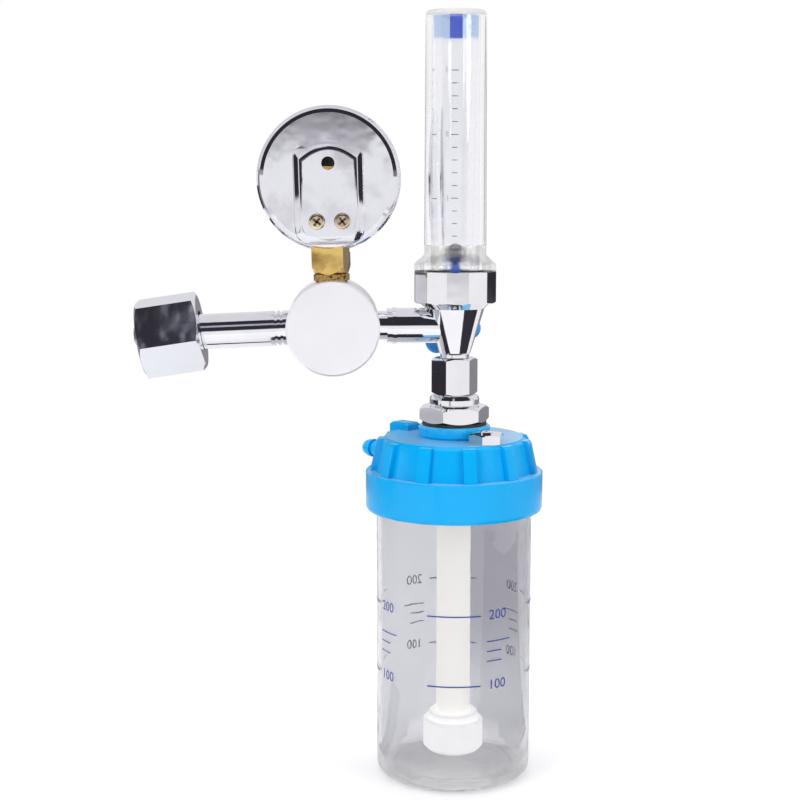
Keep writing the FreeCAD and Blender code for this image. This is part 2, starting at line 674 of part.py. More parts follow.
def make_gauge_socket():
    """The brass block that carries the gauge, with its square shank and thread."""
    block = box(DRUM_X - SOCKET_BLOCK_W / 2, DRUM_X + SOCKET_BLOCK_W / 2,
                PANEL_Y + GAUGE_CASE_WALL, SOCKET_BLOCK_FRONT_Y, SOCKET_BLOCK_BOTTOM, SOCKET_BLOCK_TOP)
    shank = prism(4, SHANK_CORNER_R, SHANK_BOTTOM, SHANK_TOP, SHANK_PHASE)
    wide = SHANK_CORNER_R + 1
    flat_r = SHANK_SIDE / 2
    taper = lathe([(0, SHANK_BOTTOM), (flat_r, SHANK_BOTTOM), (wide, SHANK_BOTTOM + SHANK_TAPER * 2),
                   (wide, SHANK_TOP), (0, SHANK_TOP)])
    shank = shank.common(taper).cut(box(-20, 20, BEZEL_BACK_Y - 0.3, 20, GAUGE_HEIGHT - BEZEL_R - 0.5, SHANK_TOP + 1))
    shank = moved(shank, DRUM_X)
    tail = moved(rod(SOCKET_THREAD_R, DRUM_R - SOCKET_THREAD_LENGTH, SHANK_BOTTOM + 0.2), DRUM_X)
    tube_z = GAUGE_HEIGHT + TUBE_ARC_R * math.sin(math.radians(TUBE_ARC_START))
    bore = moved(rod(SOCKET_BORE_R, 0, tube_z), DRUM_X)
    side = Part.makeCylinder(0.8, SOCKET_BLOCK_W, Vector(DRUM_X, TUBE_Y, tube_z), X_AXIS)
    link = Part.makeCylinder(0.8, -TUBE_Y, Vector(DRUM_X, TUBE_Y, tube_z), Y_AXIS)
    socket = block.fuse(shank).fuse(tail).cut(bore).cut(link)
    socket = socket.cut(tube_blank(TUBE_SECTION_W, TUBE_SECTION_T)).cut(side)
    for x in SCREW_XS:
        socket = socket.cut(gauge_rod(SCREW_R, PANEL_Y - 1, PANEL_Y + SCREW_LENGTH, x, SCREW_UP - GAUGE_HEIGHT))
    return leaned(socket)


def make_thread_tape():
    """The wound sealing tape that shows between the shank and the drum."""
    low = DRUM_R - 0.2
    wound = ring(TAPE_R, SOCKET_THREAD_R, low, SHANK_BOTTOM)
    drum = drum_round()
    return leaned(moved(wound.cut(drum), DRUM_X))


def make_gauge_screws():
    """The two pan-head screws through the case's back."""
    screws = []
    for x in SCREW_XS:
        head = gauge_rod(SCREW_HEAD_R, PANEL_Y - SCREW_HEAD_HEIGHT, PANEL_Y, x, SCREW_UP - GAUGE_HEIGHT)
        back = [e for e in head.Edges if len(e.Vertexes) == 1 and e.CenterOfMass.y < PANEL_Y - 1]
        head = head.makeFillet(SCREW_HEAD_HEIGHT * 0.6, back)
        head = head.fuse(gauge_rod(SCREW_R, PANEL_Y - 0.1, PANEL_Y + SCREW_LENGTH, x, SCREW_UP - GAUGE_HEIGHT))
        y = PANEL_Y - SCREW_HEAD_HEIGHT - 0.1
        for turn in (35, 125):
            slot = box(-SCREW_HEAD_R * 0.55, SCREW_HEAD_R * 0.55, 0, 1.1, -0.45, 0.45)
            slot = turned_about(slot, (0, 0, 0), (0, 1, 0), turn + x * 3)
            head = head.cut(moved(slot, DRUM_X + x, y, SCREW_UP))
        screws.append(head)
    return leaned(Part.makeCompound(screws))


def tube_blank(width, thickness):
    """The curved oval tube, from its soldered root to its tip."""
    a = math.radians(TUBE_ARC_START)
    half_w = width / 2
    half_t = thickness / 2
    straight = half_w - half_t
    r0 = TUBE_ARC_R - half_t
    r1 = TUBE_ARC_R + half_t

    def at(r, y):
        return Vector(DRUM_X + r * math.cos(a), TUBE_Y + y, GAUGE_HEIGHT + r * math.sin(a))

    end_t = half_t * 0.45
    oval = [at(r0, -straight), at(r0, straight), at(TUBE_ARC_R - end_t, half_w), at(TUBE_ARC_R + end_t, half_w),
            at(r1, straight), at(r1, -straight), at(TUBE_ARC_R + end_t, -half_w), at(TUBE_ARC_R - end_t, -half_w)]
    face = Part.Face(Part.makePolygon(oval + [oval[0]]))
    return face.revolve(Vector(DRUM_X, 0, GAUGE_HEIGHT), Y_AXIS, TUBE_ARC_START - TUBE_ARC_END)


def make_bourdon_tube():
    """The thin curved tube that straightens as the pressure rises."""
    skin = 0.35
    return leaned(tube_blank(TUBE_SECTION_W, TUBE_SECTION_T).cut(
        tube_blank(TUBE_SECTION_W - 2 * skin, TUBE_SECTION_T - 2 * skin)))


def make_tube_tip():
    """The soldered end piece, with the lug that the link is pinned to."""
    cap_y0 = TUBE_Y - TUBE_SECTION_W / 2
    cap_y1 = TUBE_Y + TUBE_SECTION_W / 2
    half_t = TUBE_SECTION_T / 2 + 0.4
    cap = plate_xz([(TUBE_ARC_R - half_t, 0), (TUBE_ARC_R + half_t, 0), (TUBE_ARC_R + half_t, 2.4),
                    (TUBE_ARC_R - half_t, 2.4)], cap_y0, cap_y1)
    lug = plate_xz([(TUBE_ARC_R - 1.3, 0), (TUBE_ARC_R + 1.3, 0), (TUBE_ARC_R + 1.3, 2.4),
                    (TUBE_ARC_R - 1.3, 2.4)], cap_y1 - 0.5, SECTOR_Y + SECTOR_THICK)
    tip = turned_about(cap.fuse(lug), (0, 0, 0), (0, 1, 0), -TUBE_ARC_END)
    return leaned(moved(tip, DRUM_X, 0, GAUGE_HEIGHT))


def toothed_arc(teeth_full, first_angle, count):
    """The (x, z) outline points of a run of gear teeth about a centre."""
    pitch_r = GEAR_MODULE * teeth_full / 2
    tip_r = pitch_r + 0.8 * GEAR_MODULE
    root_r = pitch_r - 1.1 * GEAR_MODULE
    step = 2 * math.pi / teeth_full
    points = []
    for i in range(count):
        a = math.radians(first_angle) + i * step
        for r, share in ((root_r, -0.27), (tip_r, -0.13), (tip_r, 0.13), (root_r, 0.27)):
            points.append((r * math.cos(a + share * step), r * math.sin(a + share * step)))
    return points


def make_movement_plates():
    """The two plates of the movement with their pillars and dial posts."""
    half = PLATE_W / 2
    low = SECTOR_PIVOT_Z - 6.5
    high = 5.0
    outline = [(-half, low), (half, low), (half, high), (-half, high)]
    centre = (DRUM_X, GAUGE_HEIGHT)
    back = plate_xz(outline, PLATE_BACK_Y, PLATE_BACK_Y + PLATE_THICK, centre)
    front = plate_xz(outline, PLATE_FRONT_Y, PLATE_FRONT_Y + PLATE_THICK, centre)
    corner_x = half - 1.6
    pillars = [(corner_x, low + 1.6), (corner_x, high - 1.6), (-corner_x, high - 1.6)]
    plates = back.fuse(front)
    for x, z in pillars:
        plates = plates.fuse(gauge_rod(PILLAR_R, PLATE_BACK_Y + 0.2, PLATE_FRONT_Y + 0.2, x, z))
    for x in (-DIAL_POST_X, DIAL_POST_X):
        plates = plates.fuse(gauge_rod(1.1, PLATE_FRONT_Y + 0.5, DIAL_Y, x, DIAL_POST_Z))
        plates = plates.cut(gauge_rod(0.6, PLATE_FRONT_Y + 1.2, DIAL_Y + 1, x, DIAL_POST_Z))
    for z in (0, SECTOR_PIVOT_Z):
        plates = plates.cut(gauge_rod(ARBOR_R + ARBOR_GAP, PLATE_BACK_Y - 0.1, PLATE_FRONT_Y + 5, 0, z))
    return leaned(plates)


def make_sector_gear():
    """The toothed sector on its arbor, with the tail that the link pulls."""
    centre = (DRUM_X, GAUGE_HEIGHT + SECTOR_PIVOT_Z)
    step = 360.0 / SECTOR_TEETH_FULL
    first = 90 - 2.5 * step
    points = toothed_arc(SECTOR_TEETH_FULL, first, SECTOR_TEETH)
    inner_r = GEAR_MODULE * SECTOR_TEETH_FULL / 2 - 2.2
    start = first - step * 0.5
    stop = first + (SECTOR_TEETH - 0.5) * step
    for i in range(7):
        a = math.radians(stop + (start - stop) * i / 6)
        points.append((inner_r * math.cos(a), inner_r * math.sin(a)))
    y0 = SECTOR_Y
    y1 = SECTOR_Y + SECTOR_THICK
    sector = plate_xz(points, y0, y1, centre)
    for angle in (start + 5, stop - 5):
        arm = plate_xz([(0.5, -0.7), (inner_r + 0.6, -0.7), (inner_r + 0.6, 0.7), (0.5, 0.7)], y0, y1)
        sector = sector.fuse(moved(turned_about(arm, (0, 0, 0), (0, 1, 0), -angle), centre[0], 0, centre[1]))
    tail = plate_xz([(0.5, -1.1), (SECTOR_TAIL + 1.2, -1.1), (SECTOR_TAIL + 1.2, 1.1), (0.5, 1.1)], y0, y1)
    sector = sector.fuse(moved(turned_about(tail, (0, 0, 0), (0, 1, 0), -TAIL_ANGLE), centre[0], 0, centre[1]))
    hub = gauge_rod(SECTOR_HUB_R, y0 - 0.4, y1 + 0.6, 0, SECTOR_PIVOT_Z)
    arbor = gauge_rod(ARBOR_R, PLATE_BACK_Y + 0.1, PLATE_FRONT_Y + PLATE_THICK, 0, SECTOR_PIVOT_Z)
    sector = sector.fuse(hub).fuse(arbor)
    return leaned(sector.cut(gauge_rod(0.55, y0 - 1, y1 + 1, TAIL_X, SECTOR_PIVOT_Z + TAIL_Z)))


def make_pinion_arbor():
    """The pointer's arbor with the pinion cut on it."""
    pinion_points = toothed_arc(PINION_TEETH, 270, PINION_TEETH)
    pinion = plate_xz(pinion_points, SECTOR_Y - 0.5, SECTOR_Y + SECTOR_THICK + 0.5, (DRUM_X, GAUGE_HEIGHT))
    arbor = gauge_rod(ARBOR_R, PLATE_BACK_Y + 0.1, POINTER_Y + POINTER_THICK + 0.3)
    return leaned(pinion.fuse(arbor))


def make_link():
    """The flat link from the tube's tip to the sector's tail."""
    length = math.hypot(TIP_X - TAIL_X, TIP_Z - TAIL_Z)
    angle = math.degrees(math.atan2(TIP_Z - TAIL_Z, TIP_X - TAIL_X))
    half = LINK_W / 2
    y0 = SECTOR_Y + SECTOR_THICK + 0.2
    strip = plate_xz([(0, -half), (length, -half), (length, half), (0, half)], y0, y0 + LINK_THICK)
    for x in (0, length):
        strip = strip.fuse(Part.makeCylinder(half, LINK_THICK, Vector(x, y0, 0), Y_AXIS))
    pin = Part.makeCylinder(0.5, y0 - SECTOR_Y + 0.3, Vector(0, SECTOR_Y - 0.2, 0), Y_AXIS)
    strip = strip.fuse(pin)
    strip = turned_about(strip, (0, 0, 0), (0, 1, 0), -angle)
    return leaned(moved(strip, DRUM_X + TAIL_X, 0, GAUGE_HEIGHT + SECTOR_PIVOT_Z + TAIL_Z))


def make_gauge_dial():
    """The printed dial disc."""
    dial = gauge_rod(DIAL_R, DIAL_Y, DIAL_Y + DIAL_THICK).cut(gauge_rod(1.4, DIAL_Y - 1, DIAL_Y + 2))
    for x in (-DIAL_POST_X, DIAL_POST_X):
        dial = dial.cut(gauge_rod(0.65, DIAL_Y - 1, DIAL_Y + 2, x, DIAL_POST_Z))
    return leaned(dial)


def make_dial_screws():
    """The two small screws that hold the dial."""
    screws = []
    for x in (-DIAL_POST_X, DIAL_POST_X):
        head = gauge_rod(1.2, DIAL_Y + DIAL_THICK, DIAL_Y + DIAL_THICK + 0.5, x, DIAL_POST_Z)
        screws.append(head.fuse(gauge_rod(0.6, PLATE_FRONT_Y + 1.3, DIAL_Y + DIAL_THICK + 0.1, x, DIAL_POST_Z)))
    return leaned(Part.makeCompound(screws))


def make_gauge_pointer():
    """The pointer with its tail and hub, at its rest angle."""
    y1 = POINTER_Y + POINTER_THICK
    blade = plate_xz([(-POINTER_TAIL, -1.5), (0, -0.8), (POINTER_LENGTH, -0.25), (POINTER_LENGTH, 0.25),
                      (0, 0.8), (-POINTER_TAIL, 1.5)], POINTER_Y, y1)
    hub = Part.makeCylinder(2.0, 0.8, Vector(0, POINTER_Y - 0.2, 0), Y_AXIS)
    hole = Part.makeCylinder(ARBOR_R, 4, Vector(0, POINTER_Y - 2, 0), Y_AXIS)
    pointer = blade.fuse(hub).cut(hole)
    pointer = turned_about(pointer, (0, 0, 0), (0, 1, 0), POINTER_REST - 180)
    return leaned(moved(pointer, DRUM_X, 0, GAUGE_HEIGHT))


def make_gauge_lens():
    """The clear window."""
    return leaned(gauge_rod(GAUGE_CASE_R - 0.2, GAUGE_CASE_FRONT_Y, GAUGE_CASE_FRONT_Y + LENS_THICK))


def make_lens_seal():
    """The rubber ring between the window and the bezel's lip."""
    y0 = GAUGE_CASE_FRONT_Y + LENS_THICK
    y1 = BEZEL_FRONT_Y - BEZEL_WALL
    seal = gauge_rod(GAUGE_CASE_R - 0.2, y0, y1).cut(gauge_rod(LENS_SIGHT_R, y0 - 1, y1 + 1))
    return leaned(seal)


def make_gauge_bezel():
    """The ring that holds the window on the case."""
    inner = GAUGE_CASE_R + SLIDE_GAP
    lip = BEZEL_FRONT_Y - BEZEL_WALL
    edge = 0.9
    bezel = gauge_lathe([(inner, BEZEL_BACK_Y), (BEZEL_R - edge, BEZEL_BACK_Y), (BEZEL_R, BEZEL_BACK_Y + edge),
                         (BEZEL_R, BEZEL_FRONT_Y - edge), (BEZEL_R - edge, BEZEL_FRONT_Y),
                         (LENS_SIGHT_R, BEZEL_FRONT_Y), (LENS_SIGHT_R, lip), (inner, lip)])
    return leaned(bezel)


# Outlet connector and flowmeter body

def make_outlet_connector():
    """The threaded connector between the drum and the flowmeter body, made along +X."""
    start = DRUM_X + DRUM_R - CONNECTOR_THREAD_LENGTH
    stop = ARM_END_X + CONNECTOR_THREAD_LENGTH
    shaft = rod(CONNECTOR_THREAD_R, start, stop)
    neck = rod(CONNECTOR_NECK_R, CONNECTOR_START_X, CONNECTOR_RING_X)
    collar = rod(CONNECTOR_RING_R, CONNECTOR_RING_X, ARM_END_X)
    drum = drum_round(DRUM_X)
    piece = shaft.fuse(neck.fuse(collar).cut(drum)).cut(rod(CONNECTOR_BORE_R, start - 1, stop + 1))
    return aimed(piece, (1, 0, 0))


def make_flowmeter_body():
    """The chromed casting: twelve-sided collar, cone, arm and valve boss."""
    phase = 180.0 / COLLAR_SIDES - 90.0
    collar = prism(COLLAR_SIDES, COLLAR_R, COLLAR_BOTTOM, COLLAR_TOP, phase)
    edge = 0.5
    wide = COLLAR_R + 2
    trim = lathe([(0, COLLAR_BOTTOM), (COLLAR_FLAT_R - edge, COLLAR_BOTTOM), (wide, COLLAR_BOTTOM + 2),
                  (wide, COLLAR_TOP), (0, COLLAR_TOP)])
    collar = collar.common(trim)
    step_bottom = COLLAR_BOTTOM - COLLAR_STEP
    cone = lathe([(0, COLLAR_BOTTOM + 1), (COLLAR_STEP_R, COLLAR_BOTTOM + 1), (COLLAR_STEP_R, COLLAR_BOTTOM),
                  (CONE_TOP_R, step_bottom), (CONE_BOTTOM_R, CONE_BOTTOM), (NECK_R, CONE_BOTTOM - 0.6),
                  (NECK_R, NECK_BOTTOM), (0, NECK_BOTTOM)])
    arm = aimed(rod(ARM_R, ARM_END_X, 0), (1, 0, 0))
    arm = arm.common(box(ARM_END_X - 1, 0, -20, 20, -20, COLLAR_TOP - 6))
    arm_ring = aimed(rod(ARM_RING_R, ARM_END_X, ARM_END_X + ARM_RING_LENGTH), (1, 0, 0))
    boss = across(rod(VALVE_BOSS_R, 0, VALVE_BOSS_Y), 0, 0, VALVE_Z)
    boss = boss.makeChamfer(0.6, [e for e in boss.Edges if len(e.Vertexes) == 1 and e.CenterOfMass.y > 1])
    body = collar.fuse(cone).fuse(arm).fuse(arm_ring).fuse(boss)
    body = body.cut(rod(SOCKET_R, SOCKET_FLOOR, COLLAR_TOP + 1))
    body = body.cut(aimed(rod(CONNECTOR_THREAD_R, ARM_END_X - 1, CONNECTOR_STOP_X), (1, 0, 0)))
    body = body.cut(aimed(rod(CONNECTOR_BORE_R, ARM_END_X, 0), (1, 0, 0)))
    body = body.cut(across(rod(BONNET_THREAD_R, 0, BONNET_THREAD_LENGTH + 3), BONNET_INNER_Y, 0, VALVE_Z))
    body = body.cut(across(rod(SPINDLE_R + SLIDE_GAP, 0, 12), SPINDLE_SEAT_Y + 0.6, 0, VALVE_Z))
    riser_y = SPINDLE_SEAT_Y - 4.2
    body = body.cut(across(rod(SPINDLE_NEEDLE_R - 0.2, 0, 6), riser_y, 0, VALVE_Z))
    body = body.cut(rod(0.8, VALVE_Z - 1, SOCKET_FLOOR + 1, 0, riser_y))
    tail_top = NECK_BOTTOM + TAIL_THREAD_LENGTH
    body = body.cut(rod(TAIL_THREAD_R, NECK_BOTTOM - 1, tail_top))
    down = Vector(-9.5, 0, tail_top - SOCKET_FLOOR - 1.5)
    return body.cut(Part.makeCylinder(0.8, down.Length, Vector(10.0, -3.0, SOCKET_FLOOR + 1), down))


# Needle valve, made along +Y

def make_valve_bonnet():
    """The hexagon gland that the spindle passes through."""
    head = hexagon(BONNET_AF, VALVE_BOSS_Y - BONNET_INNER_Y, VALVE_BOSS_Y - BONNET_INNER_Y + BONNET_LENGTH, 30,
                   bottom=False)
    thread = rod(BONNET_THREAD_R, 0, VALVE_BOSS_Y - BONNET_INNER_Y + 0.1)
    ring_room = rod(SPINDLE_RING_R + SLIDE_GAP, -1, SPINDLE_RING_THICK + VALVE_LIFT + 0.3)
    bonnet = head.fuse(thread).cut(rod(SPINDLE_R + SLIDE_GAP, -1, 30)).cut(ring_room)
    return across(bonnet, BONNET_INNER_Y, 0, VALVE_Z)


def make_spindle_ring():
    """The ring seal in the spindle's groove, which slides inside the gland."""
    seal = ring(SPINDLE_RING_R, SPINDLE_GROOVE_R + SLIDE_GAP, 0, SPINDLE_RING_THICK)
    return across(seal, SPINDLE_RING_Y, 0, VALVE_Z)


def make_valve_spindle():
    """The turned spindle with its needle, drawn out as the knob turns."""
    tip_y = SPINDLE_SEAT_Y - 0.2
    stop = KNOB_BACK_Y + KNOB_DEPTH - KNOB_ROOF - SLIDE_GAP
    outline = [(0, tip_y), (0.5, tip_y), (SPINDLE_NEEDLE_R - 0.3, SPINDLE_SEAT_Y + 0.6),
               (SPINDLE_R - 0.5, SPINDLE_SEAT_Y + 1.4), (SPINDLE_R, SPINDLE_SEAT_Y + 2.2), (SPINDLE_R, stop), (0, stop)]
    spindle = lathe(outline).cut(rod(KNOB_SCREW_R + SLIDE_GAP, stop - 6, stop + 1))
    groove_y = SPINDLE_RING_Y - SLIDE_GAP
    spindle = spindle.cut(ring(SPINDLE_R + 1, SPINDLE_GROOVE_R, groove_y, groove_y + SPINDLE_RING_THICK + 2 * SLIDE_GAP))
    return across(spindle, 0, 0, VALVE_Z)


def make_flow_knob():
    """The star knob with its five rounded lobes."""
    hub_r = KNOB_R - KNOB_LOBE_R
    star = rod(hub_r * 0.93, 0, KNOB_DEPTH)
    for i in range(KNOB_LOBES):
        a = math.radians(KNOB_FIRST_LOBE + 360.0 * i / KNOB_LOBES)
        star = star.fuse(rod(KNOB_LOBE_R, 0, KNOB_DEPTH, hub_r * math.cos(a), -hub_r * math.sin(a)))
    wide = KNOB_R + 1
    crown = lathe([(0, 0), (KNOB_R - 1.2, 0), (wide, 2.2), (wide, KNOB_DEPTH - 3.2), (KNOB_R - 2.0, KNOB_DEPTH),
                   (0, KNOB_DEPTH)])
    star = star.removeSplitter().common(crown)
    star = star.cut(rod(hub_r * 0.6, KNOB_DEPTH - 1.2, KNOB_DEPTH + 1))
    star = star.cut(rod(SPINDLE_R + SLIDE_GAP, -1, KNOB_DEPTH - KNOB_ROOF)).cut(rod(KNOB_SCREW_R + 0.1, -1, KNOB_DEPTH + 1))
    return across(star, KNOB_BACK_Y, 0, VALVE_Z)


def make_knob_screw():
    """The screw that holds the knob on the spindle."""
    base = KNOB_DEPTH - 1.2
    screw = rod(2.6, base, base + 1.1).fuse(rod(KNOB_SCREW_R, KNOB_DEPTH - 7.5, base + 0.1))
    screw = screw.cut(box(-3, 3, -0.35, 0.35, base + 0.5, base + 2))
    return across(screw, KNOB_BACK_Y, 0, VALVE_Z)


# Flow tube, made along +Z

def make_tube_cover():
    """The clear outer tube with its closed top and twelve-sided flange."""
    phase = 180.0 / COLLAR_SIDES - 90.0
    flange_top = COLLAR_TOP + COVER_FLANGE
    shoulder_top = flange_top + COVER_SHOULDER
    flange = prism(COLLAR_SIDES, COLLAR_R, COLLAR_TOP, flange_top, phase)
    low = prism(COLLAR_SIDES, COLLAR_R, flange_top, flange_top + 0.01, phase).Faces
    low_wire = [f for f in low if abs(f.CenterOfMass.z - flange_top) < 1e-6][0].OuterWire
    high = prism(COLLAR_SIDES, COVER_TUBE_BOTTOM_R + 0.4, shoulder_top, shoulder_top + 0.01, phase).Faces
    high_wire = [f for f in high if abs(f.CenterOfMass.z - shoulder_top) < 1e-6][0].OuterWire
    shoulder = Part.makeLoft([low_wire, high_wire], True, True)
    spigot_r = SOCKET_R - FIT_GAP
    tube = lathe([(0, METERING_BOTTOM - 1.0), (spigot_r, METERING_BOTTOM - 1.0), (spigot_r, COLLAR_TOP + 1),
                  (COVER_TUBE_BOTTOM_R, shoulder_top), (COVER_TUBE_TOP_R, COVER_TUBE_TOP - 0.8),
                  (COVER_TUBE_TOP_R - 0.8, COVER_TUBE_TOP), (0, COVER_TUBE_TOP)])
    cover = flange.fuse(shoulder).fuse(tube)
    return cover.cut(rod(COVER_TUBE_BORE_R, 0, COVER_TUBE_TOP - COVER_TUBE_ROOF))


def make_metering_tube():
    """The clear inner tube whose bore widens upwards."""
    tube = rod(METERING_R, METERING_BOTTOM, METERING_TOP)
    bore = Part.makeCone(METERING_BORE_BOTTOM_R, METERING_BORE_TOP_R, METERING_TOP - METERING_BOTTOM,
                         Vector(0, 0, METERING_BOTTOM))
    return tube.cut(bore).cut(rod(METERING_BORE_TOP_R, METERING_TOP - PLUG_HEIGHT, METERING_TOP + 1))


def make_tube_plug():
    """The plug in the top of the inner tube."""
    low = METERING_TOP - PLUG_HEIGHT
    plug = Part.makeCone(METERING_BORE_TOP_R, METERING_BORE_TOP_R - PLUG_TAPER, PLUG_HEIGHT, Vector(0, 0, low))
    return plug.cut(rod(1.0, low - 1, METERING_TOP + 1))


def make_float_seat():
    """The seat under the ball, with a small nozzle and a flange under the inner tube."""
    flange_bottom = METERING_BOTTOM - SEAT_FLANGE
    seat = lathe([(SEAT_HOLE_R, flange_bottom), (METERING_R, flange_bottom), (METERING_R, METERING_BOTTOM),
                  (SEAT_POST_R, METERING_BOTTOM), (SEAT_POST_R, SEAT_TOP - SEAT_NOZZLE_HEIGHT),
                  (SEAT_NOZZLE_R, SEAT_TOP - SEAT_NOZZLE_HEIGHT), (SEAT_NOZZLE_R, SEAT_TOP), (SEAT_HOLE_R, SEAT_TOP)])
    for i in range(3):
        a = math.radians(90 + 120 * i)
        seat = seat.cut(rod(0.8, SEAT_TOP - SEAT_NOZZLE_HEIGHT - 4, SEAT_TOP, 3.4 * math.cos(a), 3.4 * math.sin(a)))
    return seat


def make_tube_gasket():
    """The ring seal on the floor of the socket."""
    return ring(METERING_R, 4.0, SOCKET_FLOOR, METERING_BOTTOM - SEAT_FLANGE)


def make_float_ball():
    """The ball that rides in the gas stream."""
    return Part.makeSphere(BALL_R, Vector(0, 0, BALL_Z))


# Coupling under the flowmeter, made along +Z

def make_tail_piece():
    """The short nipple that the coupling nut hangs on."""
    thread_top = NECK_BOTTOM + TAIL_THREAD_LENGTH
    tail = rod(TAIL_THREAD_R, NECK_BOTTOM - 0.5, thread_top).fuse(rod(TAIL_R, TAIL_FLANGE_Z, NECK_BOTTOM))
    tail = tail.fuse(rod(TAIL_FLANGE_R, TAIL_FLANGE_Z - TAIL_FLANGE, TAIL_FLANGE_Z))
    return tail.cut(rod(TAIL_BORE_R, TAIL_FLANGE_Z - 9, thread_top + 1))


def make_coupling_nut():
    """The hexagon nut that joins the humidifier to the flowmeter."""
    nut = hexagon(COUPLING_AF, COUPLING_BOTTOM, COUPLING_TOP, COUPLING_PHASE - 60)
    nut = nut.cut(rod(COUPLING_HOLE_R, COUPLING_BOTTOM - 1, COUPLING_TOP + 1))
    return nut.cut(rod(COUPLING_THREAD_R, COUPLING_BOTTOM - 1, COUPLING_TOP - COUPLING_ROOF))


def make_coupling_washer():
    """The flat seal inside the coupling."""
    top = TAIL_FLANGE_Z - TAIL_FLANGE
    return ring(TAIL_FLANGE_R, TAIL_BORE_R, top - WASHER_THICK, top)


def make_lid_fitting():
    """The turned fitting through the lid: stub, dome, hexagon, shank and spigot."""
    top = TAIL_FLANGE_Z - TAIL_FLANGE - WASHER_THICK
    stub_r = COUPLING_THREAD_R - SLIDE_GAP
    dome_r = FITTING_DOME_R
    outline = [(0, top), (stub_r - 0.8, top), (stub_r, top - 0.8), (stub_r, FITTING_DOME_TOP),
               (dome_r - 1.6, FITTING_DOME_TOP), (dome_r - 0.45, FITTING_DOME_TOP - 0.5),
               (dome_r, FITTING_DOME_TOP - 1.6), (dome_r, FITTING_HEX_TOP + 0.9), (dome_r - 0.6, FITTING_HEX_TOP),
               (0, FITTING_HEX_TOP)]
    upper = lathe(outline)
    flange = hexagon(FITTING_HEX_AF, FITTING_HEX_BOTTOM, FITTING_HEX_TOP, FITTING_PHASE - 60)
    shank = rod(FITTING_SHANK_R, FITTING_SHANK_BOTTOM, FITTING_HEX_BOTTOM + 0.5)
    spigot = rod(FITTING_SPIGOT_R, FITTING_SHANK_BOTTOM - FITTING_SPIGOT_LENGTH, FITTING_SHANK_BOTTOM + 0.5)
    fitting = upper.fuse(flange).fuse(shank).fuse(spigot)
    return fitting.cut(rod(FITTING_BORE_R, -100, 0))


def make_lid_washer():
    """The rubber washer between the fitting and the lid."""
    return ring(FITTING_HEX_AF / 2 + 0.6, FITTING_SHANK_R, LID_BOSS_TOP, FITTING_HEX_BOTTOM)


def make_lock_nut():
    """The nut that clamps the fitting from inside the lid."""
    top = LID_UNDERSIDE
    nut = hexagon(LOCK_NUT_AF, top - LOCK_NUT_THICK, top, 10, top=False)
    return nut.cut(rod(FITTING_SHANK_R, top - 10, top + 1))


# Humidifier, made along +Z

def nozzle_placed(shape):
    """A shape made along +Z, laid out from the lid's axis at the hose nozzle's bearing."""
    a = math.radians(NOZZLE_TURN)
    return aimed(shape, (math.cos(a), math.sin(a), 0), (0, 0, NOZZLE_Z))


def make_duct():
    """The raised duct that leads gas over the bottle's lip to the hose nozzle."""
    half = DUCT_W / 2
    block = box(DUCT_IN_AT, DUCT_OUT_AT, -half, half, LID_RIM_TOP, DUCT_TOP)
    rise = [e for e in block.Edges if e.CenterOfMass.z > DUCT_TOP - 0.1]
    block = block.makeChamfer(1.0, rise)
    inside = rod(LID_THREAD_R, LID_RIM_TOP - 1, LID_UNDERSIDE)
    return turned_about(block.cut(inside), (0, 0, 0), (0, 0, 1), NOZZLE_TURN)


